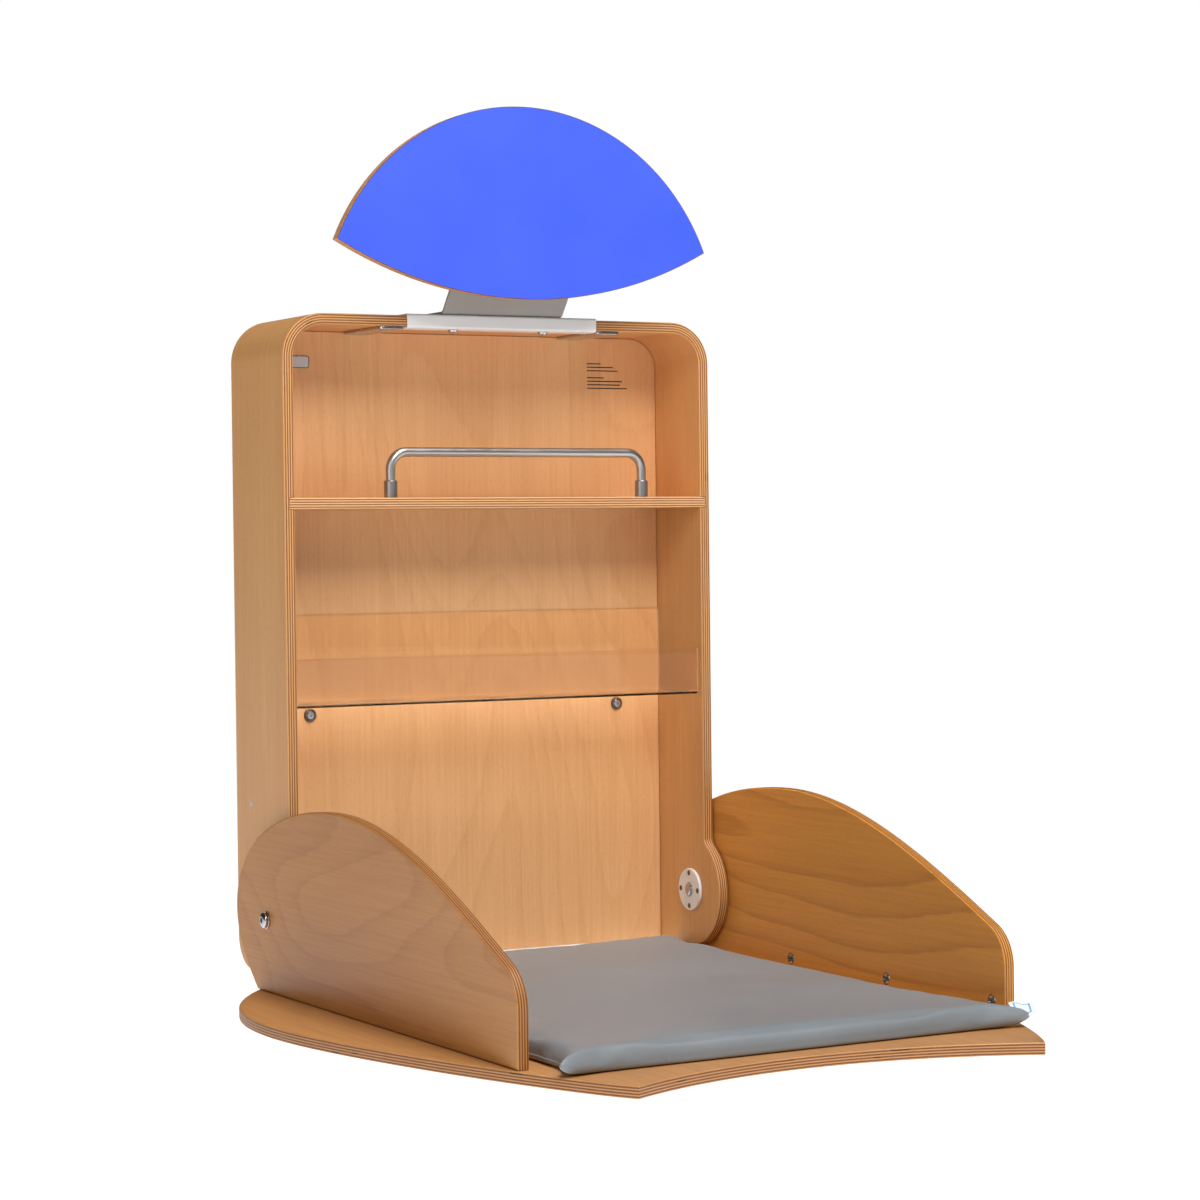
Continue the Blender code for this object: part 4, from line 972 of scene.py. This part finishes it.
def make_neck_bracket():
    low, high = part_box("neck_bracket")
    foot = height_of(low.z) + NECK_SHEET / 2
    tail = REAR - high.y
    behind_header = REAR - low.y - NECK_SHEET / 2
    knee = foot + (behind_header - DEPTH) / math.tan(NECK_LEAN)
    corners = [(tail, foot), (DEPTH, foot), (behind_header, knee), (behind_header, height_of(high.z))]
    path = filleted(corners, NECK_BEND)
    bracket = sheet_strip("neck_bracket_plate", path, NECK_SHEET, high.x, 0.0005)
    # The bracket's darker grey coat is painted shade under the header
    finish(bracket, "cabinet", "shaded_white_coat", ["neck_bracket"])


def make_straps():
    for side, _ in SIDES:
        low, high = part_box("strap_" + side)
        left, right = low.x + STRAP_CORNER, high.x - STRAP_CORNER
        near, far = low.y + STRAP_CORNER, high.y - STRAP_CORNER
        outline = []
        for turn, centre in enumerate([(right, far), (left, far), (left, near), (right, near)]):
            outline += arc(centre, STRAP_CORNER, 90 * turn, 90 * turn + 90, ARC_STEP * 2)
        strap = blank(f"strap_{side}_plate", outline, high.z - low.z, 0.0005)
        for end in ("front", "rear"):
            x, y, _ = middle_of(f"strap_screw_{side}_{end}")
            sink(strap, SCREW_SEAT, SCREW_HOLE, SEAT_DEPTH, 0.006, (x, y, 0), "-Z")
        strap.data.transform(Matrix.Translation((0, 0, low.z)))
        finish(strap, "cabinet", "strap", ["strap_" + side])


def make_tray():
    low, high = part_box("acrylic_tray")
    half_sheet = TRAY_SHEET / 2
    rear, front = REAR - high.y + half_sheet, REAR - low.y - half_sheet
    bottom = height_of(low.z) + half_sheet
    lip = height_of(low.z) + TRAY_LIP
    path = filleted([(rear, height_of(high.z)), (rear, bottom), (front, bottom), (front, lip)], TRAY_BEND)
    tray = sheet_strip("acrylic_tray_sheet", path, TRAY_SHEET, high.x, 0.0003)
    finish(tray, "cabinet", "acrylic", ["acrylic_tray"])


def tube_along(name, points, radius, resolution):
    """A round tube along 3D points, with closed ends."""
    curve = bpy.data.curves.new(name, "CURVE")
    curve.dimensions = "3D"
    curve.bevel_depth = radius
    curve.bevel_resolution = resolution
    curve.use_fill_caps = True
    spline = curve.splines.new("POLY")
    spline.points.add(len(points) - 1)
    for target, point in zip(spline.points, points):
        target.co = (*point, 1)
    tube = bpy.data.objects.new(name, curve)
    bpy.context.scene.collection.objects.link(tube)
    only(tube)
    bpy.ops.object.convert(target="MESH")
    tube = bpy.context.object
    edit(tube)
    bpy.ops.mesh.select_all(action="SELECT")
    bpy.ops.mesh.remove_doubles(threshold=1e-6)
    leave()
    return tube


def make_guard_rail():
    """A tube bent to a bridge, with a plain sleeve round each foot."""
    low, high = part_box("guard_rail")
    left, right = low.x + RAIL_SLEEVE, high.x - RAIL_SLEEVE
    forward = (low.y + high.y) / 2
    crest = high.z - RAIL_TUBE
    path = filleted([(left, low.z), (left, crest), (right, crest), (right, low.z)], RAIL_BEND, 16)
    rail = tube_along("guard_rail_tube", [(x, forward, z) for x, z in path], RAIL_TUBE, 8)
    rings = [(RAIL_SLEEVE - 0.0004, 0), (RAIL_SLEEVE, 0.0004), (RAIL_SLEEVE, 0.0175)]
    rings += [(RAIL_SLEEVE - 0.0008, 0.0185), (RAIL_TUBE + 0.0001, 0.0186)]
    foot = turned("rail_foot", rings, 40)
    for x, side in ((left, "left"), (right, "right")):
        piece = copied(foot, "guard_rail_foot_" + side, Matrix.Translation((x, forward, low.z)))
        finish(piece, "cabinet", "sleeve")
    discard(foot)
    finish(rail, "cabinet", "tube", ["guard_rail"])


# Hardware: each kind is modelled once with its face at z = 0, and copied

def cross_recess(obj, reach, width, depth):
    """The cross for a screwdriver, cut into the face at z = 0."""
    for turn in (0, math.pi / 2):
        arm = block("arm", (-reach, -width / 2, -depth), (reach, width / 2, PAST))
        for vertex in arm.data.vertices:
            if vertex.co.z < 0:
                vertex.co.x *= 0.45
        arm.data.transform(Matrix.Rotation(turn, 4, "Z"))
        carve(obj, arm)


def countersunk_screw(name, length):
    rings = [(SCREW_SHANK, -length), (SCREW_SHANK, -SCREW_HEAD_DEPTH)]
    obj = turned(name, rings + [(SCREW_HEAD, -0.0002), (SCREW_HEAD - 0.0002, 0)], 32)
    cross_recess(obj, SCREW_HEAD * 0.58, SCREW_HEAD * 0.22, SCREW_HEAD_DEPTH * 0.8)
    return obj


def place_copies(original, names, body, finish_name):
    """Puts a copy at each (node, direction), facing that way, in place of the node."""
    for node, towards in names:
        piece = copied(original, node + "_detailed", face_of(node, towards))
        finish(piece, body, finish_name, [node])
    discard(original)


def make_small_screws():
    bush = [(f"bush_screw_{side}_{i}", INWARDS[side]) for side, _ in SIDES for i in (1, 2, 3, 4)]
    place_copies(countersunk_screw("bush_screw", 0.011), bush, "cabinet", "brass_grey")
    straps = [(f"strap_screw_{side}_{end}", "-Z") for side, _ in SIDES for end in ("front", "rear")]
    place_copies(countersunk_screw("strap_screw", 0.012), straps, "cabinet", "bright")
    sides = [("side_screw_" + side, OUTWARDS[side]) for side, _ in SIDES]
    place_copies(countersunk_screw("side_screw", 0.028), sides, "cabinet", "bright")


def make_wall_screws():
    _, length = spread_of("wall_screw_left", "-Y")
    rings = [(0.0025, -length), (0.0025, -0.0022), (0.0044, -0.0006), (0.0038, -0.0001), (0.0030, 0)]
    screw = turned("wall_screw", rings, 32)
    cross_recess(screw, 0.0026, 0.0010, 0.0014)
    place_copies(screw, [("wall_screw_" + side, "-Y") for side, _ in SIDES], "cabinet", "bright")
    rings = [(ROSETTE_RADIUS, -0.0026), (ROSETTE_RADIUS, -0.0012), (0.0066, -0.0003), (0.0061, 0)]
    cup = turned("cup_washer", rings + [(0.0052, 0), (0.0030, -0.0020)], 40)
    drill(cup, WALL_HOLE, (0, 0, 0), "+Z", -0.004, PAST, 32)
    place_copies(cup, [("wall_rosette_" + side, "-Y") for side, _ in SIDES], "cabinet", "brass_grey")


def dome_rings(radius, rise, base, steps=7):
    """Rings up a shallow dome, from its rim at base to near its top."""
    angles = [math.pi / 2 * i / steps for i in range(steps + 1)]
    return [(max(radius * math.cos(a), 0.0001), base + rise * math.sin(a)) for a in angles]


def make_cover_bolts():
    """Cap nuts under the top and bolt heads on the bracket's foot, each turned with its shank."""
    for side, _ in SIDES:
        low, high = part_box("cover_bolt_" + side)
        span = high.z - low.z
        dome = dome_rings(CAP_RADIUS, CAP_DOME, 0.0)
        rings = [(radius, -height + CAP_DOME) for radius, height in reversed(dome)]
        rings += [(CAP_RADIUS, CAP_DOME + 0.0001), (CAP_SHANK, CAP_DOME + 0.0002)]
        rings += [(CAP_SHANK, span - 0.0031), (CAP_RADIUS, span - 0.003)]
        rings += [(CAP_RADIUS, span - 0.0012), (0.0044, span)]
        bolt = turned(f"cover_bolt_{side}_detailed", rings, 32)
        drill(bolt, 0.0026, (0, 0, span), "+Z", -0.0016, PAST, 6)
        bolt.data.transform(Matrix.Translation(((low.x + high.x) / 2, (low.y + high.y) / 2, low.z)))
        finish(bolt, "cabinet", "bright", ["cover_bolt_" + side])


def make_bushes():
    radius, length = spread_of("pivot_bush_left", "+X")
    rings = [(BUSH_SLEEVE, -length), (BUSH_SLEEVE, -BUSH_FLANGE), (radius, -BUSH_FLANGE)]
    rings += [(radius, -0.0009), (radius - 0.0003, -0.0003), (radius - 0.0009, 0)]
    bush = turned("pivot_bush", rings, 64)
    drill(bush, 0.0083, (0, 0, 0), "+Z", -0.03, PAST, 48)
    for i in range(4):
        angle = i * math.pi / 2
        spot = (BUSH_SCREW_CIRCLE * math.cos(angle), BUSH_SCREW_CIRCLE * math.sin(angle), 0)
        sink(bush, SCREW_SEAT, SCREW_HOLE, SEAT_DEPTH, 0.006, spot, "+Z")
    names = [("pivot_bush_" + side, INWARDS[side]) for side, _ in SIDES]
    place_copies(bush, names, "cabinet", "nylon")


def make_pivots():
    for side, _ in SIDES:
        radius, length = spread_of("pivot_barrel_" + side, "+X")
        rings = [(radius, -length), (radius, -0.0040), (radius - 0.0006, -0.0034), (radius - 0.0006, -0.0030)]
        rings += dome_rings(radius - 0.0010, 0.0026, -0.0026)
        barrel = turned("pivot_barrel", rings, 48)
        drill(barrel, PIVOT_HOLE, (0, 0, 0), "+Z", -length - PAST, -length + 0.014, 32)
        place_copies(barrel, [("pivot_barrel_" + side, INWARDS[side])], "leaf", "bright")
        radius, length = spread_of("pivot_washer_" + side, "+X")
        edge = 0.0003
        rings = [(radius - edge, -length), (radius, edge - length), (radius, -edge), (radius - edge, 0)]
        washer = turned("pivot_washer", rings, 48)
        drill(washer, 0.0054, (0, 0, 0), "+Z", -0.01, PAST, 32)
        place_copies(washer, [("pivot_washer_" + side, OUTWARDS[side])], "leaf", "bright")
        radius, length = spread_of("pivot_bolt_" + side, "+X")
        rings = [(0.005, -length), (0.005, -0.0045), (radius - edge, -0.0045), (radius, -0.0042)]
        rings += dome_rings(radius, 0.0026, -0.0026)[:-2]
        bolt = turned("pivot_bolt", rings, 48)
        top = rings[-1][1]
        drill(bolt, 0.0035, (0, 0, 0), "+Z", -0.0032, PAST, 6)
        bolt.data.transform(Matrix.Translation((0, 0, -top)))
        place_copies(bolt, [("pivot_bolt_" + side, OUTWARDS[side])], "leaf", "bright")


def make_dowels():
    """Cross dowels with a dished, slotted end, and the countersunk bolts that go up into them."""
    radius, length = spread_of("cross_dowel_left_1", "+X")
    rings = [(radius, -length), (radius, -0.0004), (radius - 0.0004, 0)]
    dowel = turned("cross_dowel", rings + [(radius - 0.0014, 0), (radius - 0.0032, -0.0012)], 36)
    carve(dowel, block("slot", (-0.0007, -radius * 0.75, -0.0026), (0.0007, radius * 0.75, PAST)))
    names = [(f"cross_dowel_{side}_{i}", INWARDS[side]) for side, _ in SIDES for i in (1, 2, 3)]
    place_copies(dowel, names, "leaf", "bright")
    radius, length = spread_of("floor_bolt_left_1", "-Z")
    rings = [(0.003, -length), (0.003, -0.003), (radius, -0.0003), (radius - 0.0003, 0)]
    bolt = turned("floor_bolt", rings, 32)
    drill(bolt, 0.0023, (0, 0, 0), "+Z", -0.0025, PAST, 6)
    names = [(f"floor_bolt_{side}_{i}", "-Z") for side, _ in SIDES for i in (1, 2, 3)]
    place_copies(bolt, names, "leaf", "bright")


def make_header_screws():
    """Four pan heads that hold the header to the bracket's upright plate."""
    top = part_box("neck_bracket")[1].z
    back = header_high.y + NECK_SHEET + 2 * FIT
    rings = [(HEADER_SCREW_RADIUS, 0), (HEADER_SCREW_RADIUS, 0.0010)]
    rings += dome_rings(HEADER_SCREW_RADIUS, 0.0012, 0.0011, 5)[1:-1]
    crest = rings[-1][1]
    head = turned("header_screw", rings, 32)
    head.data.transform(Matrix.Translation((0, 0, -crest)))
    cross_recess(head, 0.0024, 0.0009, 0.0012)
    head.data.transform(Matrix.Translation((0, 0, crest)))
    places = [(x, drop) for drop in (0.012, 0.044) for x in (-0.05, 0.05)]
    for number, (x, drop) in enumerate(places, start=1):
        matrix = Matrix.Translation((x, back, top - drop)) @ TURNS["+Y"]
        finish(copied(head, f"header_screw_{number}", matrix), "cabinet", "bright")
    discard(head)


def make_buffers():
    for side, _ in SIDES:
        low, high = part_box("stop_buffer_" + side)
        buffer = block(f"stop_buffer_{side}_moulded", low, high, 0.0022, 4)
        finish(buffer, "leaf", "rubber", ["stop_buffer_" + side])


# Badge, printed block and the pad with its label

def make_badge():
    """A small blank plate in a raised frame."""
    low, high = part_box("badge_plate")
    plate = block("badge_plate_blank", low, high)
    edit(plate)
    depths = [vertex.co.y for vertex in plate.data.vertices]
    pick(plate, "EDGE", lambda e: abs(depths[e.vertices[0]] - depths[e.vertices[1]]) > 1e-5)
    bpy.ops.mesh.bevel(offset=0.0027, segments=6, affect="EDGES")
    pick(plate, "FACE", lambda f: f.normal.y < -0.9)
    bpy.ops.mesh.inset(thickness=0.0009)
    bpy.ops.mesh.inset(thickness=0.0003, depth=-0.0003)
    leave()
    plate.data.materials.append(finishes["strap"])
    plate.data.materials.append(finishes["badge"])
    for face in plate.data.polygons:
        face.material_index = 1 if face.select else 0
    finish(plate, "cabinet", None, ["badge_plate"])


def make_printed_block():
    """Rows of plain bars, with no lettering, where such a cabinet carries its printed particulars."""
    surface = panel_low.y - 0.00005
    left, top = 0.158, 0.391
    bar_height, row_step = 0.0012, 0.0040
    widths = (0.018, 0.034, 0.040, 0.0, 0.022, 0.046, 0.043, 0.052)
    bars = []
    for row, width in enumerate(widths):
        if width:
            z = top - row * row_step
            bars.append(block("bar", (left, surface - 0.00008, z - bar_height), (left + width, surface, z)))
    only(bars[0])
    for bar in bars:
        bar.select_set(True)
    bpy.ops.object.join()
    mark = bpy.context.object
    mark.name = "printed_bars"
    finish(mark, "cabinet", "ink", weigh=False)


PAD_VOXEL = 0.0055
PAD_CAP = 0.004                 # how far the swelling may carry a point
PAD_SKEW = 0.033                # its left front corner lies further forward than its right
EAR_REACH = 0.034               # how far the cover's front corners stand out at half height
EAR_FORWARD_SHARE = 0.35        # of that, forward
EAR_RANGE = 0.040
EAR_REAR_SHARE = 0.2            # of that at the rear
SEAM_HEIGHT = 0.0055            # above the pad's underside
SEAM_RADIUS = 0.0009
SEAM_STEPS = 40
SWELL_FRAMES = 20


def pad_blank():
    """The foam in its cover before it swells: a slab with soft edges."""
    inset = 0.003
    low = (pad_low.x + inset, pad_low.y + inset, pad_low.z)
    high = (pad_high.x - inset, pad_high.y - inset, pad_high.z - 0.0015)
    pad = block("pad_start", low, high, 0.004, 3)
    modify(pad, "REMESH", mode="VOXEL", voxel_size=PAD_VOXEL)
    return pad


def pull_ears(pad):
    """Draws the cover's corners out to soft points, and lays the pad a little askew."""
    points = [vertex.co for vertex in pad.data.vertices]
    low = [min(co[axis] for co in points) for axis in range(3)]
    high = [max(co[axis] for co in points) for axis in range(3)]
    middle = (low[2] + high[2]) / 2
    half_height = (high[2] - low[2]) / 2
    for co in points:
        at_front = co.y < (low[1] + high[1]) / 2
        corner = Vector((math.copysign(high[0], co.x), low[1] if at_front else high[1]))
        away = (Vector((co.x, co.y)) - corner).length
        share = max(0.0, 1 - away / EAR_RANGE) ** 2
        level = math.sqrt(max(0.0, 1 - abs(co.z - middle) / half_height))
        reach = EAR_REACH * share * level * (1 if at_front else EAR_REAR_SHARE)
        co.x += math.copysign(reach, co.x)
        co.y += EAR_FORWARD_SHARE * (-reach if at_front else reach)
        forward = (high[1] - co.y) / (high[1] - low[1])
        co.y += co.x * PAD_SKEW * forward**2


def swell(pad):
    """Blows the cover up a little with Cloth, its underside held, and caps how far each point goes."""
    start = [vertex.co.copy() for vertex in pad.data.vertices]
    floor = min(co.z for co in start)
    held = pad.vertex_groups.new(name="resting")
    held.add([i for i, co in enumerate(start) if co.z < floor + 0.002], 1.0, "REPLACE")
    only(pad)
    cloth = pad.modifiers.new("Cloth", "CLOTH")
    cloth.settings.vertex_group_mass = "resting"
    cloth.settings.use_pressure = True
    cloth.settings.uniform_pressure_force = 4.0
    cloth.settings.mass = 0.35
    cloth.settings.tension_stiffness = 18
    cloth.settings.compression_stiffness = 18
    cloth.settings.bending_stiffness = 0.6
    cloth.settings.shrink_min = -0.014
    cloth.settings.effector_weights.gravity = 0
    cloth.collision_settings.use_collision = False
    cloth.point_cache.frame_start = 1
    cloth.point_cache.frame_end = SWELL_FRAMES
    for step in range(1, SWELL_FRAMES + 1):
        bpy.context.scene.frame_set(step)
    bpy.ops.object.modifier_apply(modifier=cloth.name)
    bpy.context.scene.frame_set(1)
    for vertex, before in zip(pad.data.vertices, start):
        moved = vertex.co - before
        if moved.length > PAD_CAP:
            vertex.co = before + moved.normalized() * PAD_CAP
        vertex.co.z = max(vertex.co.z, floor)


def make_pad():
    pad = pad_blank()
    pad.name = "changing_pad_cover"
    swell(pad)
    modify(pad, "SMOOTH", factor=0.5, iterations=1)
    pull_ears(pad)
    modify(pad, "SUBSURF", levels=1, render_levels=1)
    finish(pad, "leaf", "vinyl", ["changing_pad"], angle=80, weigh=False)
    return pad


def make_pad_seam(pad):
    """The cover's closing seam, low along its left side."""
    height = pad_low.z + SEAM_HEIGHT
    points = []
    for i in range(SEAM_STEPS + 1):
        share = i / SEAM_STEPS
        y = pad_high.y - 0.03 + share * (pad_low.y - pad_high.y + 0.045)
        found, place, normal, _ = pad.ray_cast((pad_low.x - 0.1, y, height), (1, 0, 0))
        if found:
            points.append(place + normal * 0.0002)
    seam = tube_along("pad_seam", points, SEAM_RADIUS, 2)
    finish(seam, "leaf", "vinyl", weigh=False)


def make_pad_label():
    """A small folded fabric label, blank but for its border, sewn into the pad's right front corner."""
    width, length, sheet = 0.024, 0.013, 0.0006
    outline = [(0, 0), (width, 0), (width, length), (0, length)]
    label = blank("pad_label", outline, sheet, 0)
    edit(label, "FACE")
    bpy.ops.mesh.select_all(action="SELECT")
    bpy.ops.mesh.subdivide(number_cuts=13)
    leave()
    label.data.materials.append(finishes["label"])
    label.data.materials.append(finishes["label_blue"])
    for face in label.data.polygons:
        x, y = face.center.x / width, face.center.y / length
        border = 0.14 < x < 0.86 and 0.14 < y < 0.86 and not (0.22 < x < 0.78 and 0.22 < y < 0.78)
        face.material_index = 1 if border else 0
    for vertex in label.data.vertices:
        vertex.co.z += 0.010 * math.sin(vertex.co.y / length * 1.3) + 0.0012 * math.sin(vertex.co.x * 300)
    front = pad_low.y + 0.5 * PAD_SKEW * pad_high.x
    turn = Matrix.Rotation(math.radians(-20), 4, "Z")
    label.data.transform(Matrix.Translation((pad_high.x + 0.001, front + 0.007, pad_high.z - 0.009)) @ turn)
    finish(label, "leaf", None, weigh=False)


def finish_battens():
    for name in ("upper_batten", "lower_batten"):
        node = frame["nodes"][name]
        node.data.materials.clear()
        node.data.materials.append(finishes["softwood"])


# Stage

GROUND_DROP = 0.62              # the ground, below the leaf's floor
CAMERA_LENS, CAMERA_SENSOR = 92.93, 36
CAMERA_PLACE = (-1.52964, -3.18627, 0.18301)
CAMERA_YAW, CAMERA_PITCH, CAMERA_ROLL = -0.4982, -0.0179, -0.0116


def make_stage():
    deselect()
    bpy.ops.mesh.primitive_circle_add(vertices=96, radius=30, fill_type="NGON")
    ground = bpy.context.object
    ground.name = "studio_floor"
    ground.data.transform(Matrix.Translation((0, 0, floor_low.z - GROUND_DROP)))
    material, n, shader = new_finish("pale_floor", Roughness=0.9)
    shader.inputs["Base Color"].default_value = (0.9, 0.9, 0.9, 1)
    shader.inputs["Emission Color"].default_value = (1, 1, 1, 1)
    seen = n.add("ShaderNodeLightPath").outputs["Is Camera Ray"]
    n.fill(shader.inputs["Emission Strength"], n.math("ADD", 0.80, n.math("MULTIPLY", seen, 0.20)))
    ground.data.materials.append(material)


def add_light(name, location, target, size, power):
    data = bpy.data.lights.new(name, "AREA")
    data.shape = "SQUARE"
    data.size = size
    data.energy = power
    light = bpy.data.objects.new(name, data)
    bpy.context.scene.collection.objects.link(light)
    light.location = location
    light.rotation_euler = (Vector(target) - Vector(location)).to_track_quat("-Z", "Y").to_euler()


def make_lights():
    world = bpy.data.worlds.new("studio")
    world.use_nodes = True
    bpy.context.scene.world = world
    n = Nodes(world.node_tree)
    room = world.node_tree.nodes["Background"]
    direction = n.add("ShaderNodeSeparateXYZ", Vector=n.add("ShaderNodeTexCoord").outputs["Generated"])
    front = n.ramp(direction.outputs["Y"], 0.5, -0.9, 0.50, 0.72)
    upper = n.ramp(direction.outputs["Z"], -0.6, 0.8, 0.82, 1.40)
    n.fill(room.inputs["Strength"], n.math("MULTIPLY", front, upper))
    paper = n.add("ShaderNodeBackground")
    paper.inputs["Strength"].default_value = 1.0
    paper.inputs["Color"].default_value = (1, 1, 1, 1)
    both = n.add("ShaderNodeMixShader")
    n.fill(both.inputs[0], n.add("ShaderNodeLightPath").outputs["Is Camera Ray"])
    n.fill(both.inputs[1], room.outputs[0])
    n.fill(both.inputs[2], paper.outputs[0])
    n.fill(world.node_tree.nodes["World Output"].inputs["Surface"], both.outputs[0])
    add_light("key", (-0.35, -3.2, 2.9), (0, -0.2, 0.1), 1.5, 108)
    add_light("top", (0.3, -1.1, 2.8), (0, -0.3, 0.1), 1.2, 52)
    add_light("side", (-3.0, -2.2, 1.0), (0, -0.3, 0.0), 2.0, 22)


def make_camera():
    data = bpy.data.cameras.new("camera")
    data.lens = CAMERA_LENS
    data.sensor_width = CAMERA_SENSOR
    camera = bpy.data.objects.new("camera", data)
    bpy.context.scene.collection.objects.link(camera)
    aim = Matrix.Rotation(CAMERA_YAW, 4, "Z") @ Matrix.Rotation(math.pi / 2 + CAMERA_PITCH, 4, "X")
    turn = aim @ Matrix.Rotation(CAMERA_ROLL, 4, "Z")
    camera.matrix_world = Matrix.Translation(CAMERA_PLACE) @ turn
    bpy.context.scene.camera = camera


make_camera()
make_stage()
make_lights()
make_hoop()
make_back_panel()
make_shelf()
make_header()
make_leaf_sides()
make_leaf_floor()
make_edge_cover()
make_neck_bracket()
make_straps()
make_tray()
make_guard_rail()
make_small_screws()
make_wall_screws()
make_cover_bolts()
make_bushes()
make_pivots()
make_dowels()
make_header_screws()
make_buffers()
make_badge()
make_printed_block()
make_pad_seam(make_pad())
make_pad_label()
finish_battens()
bpy.context.scene.view_settings.view_transform = "Standard"
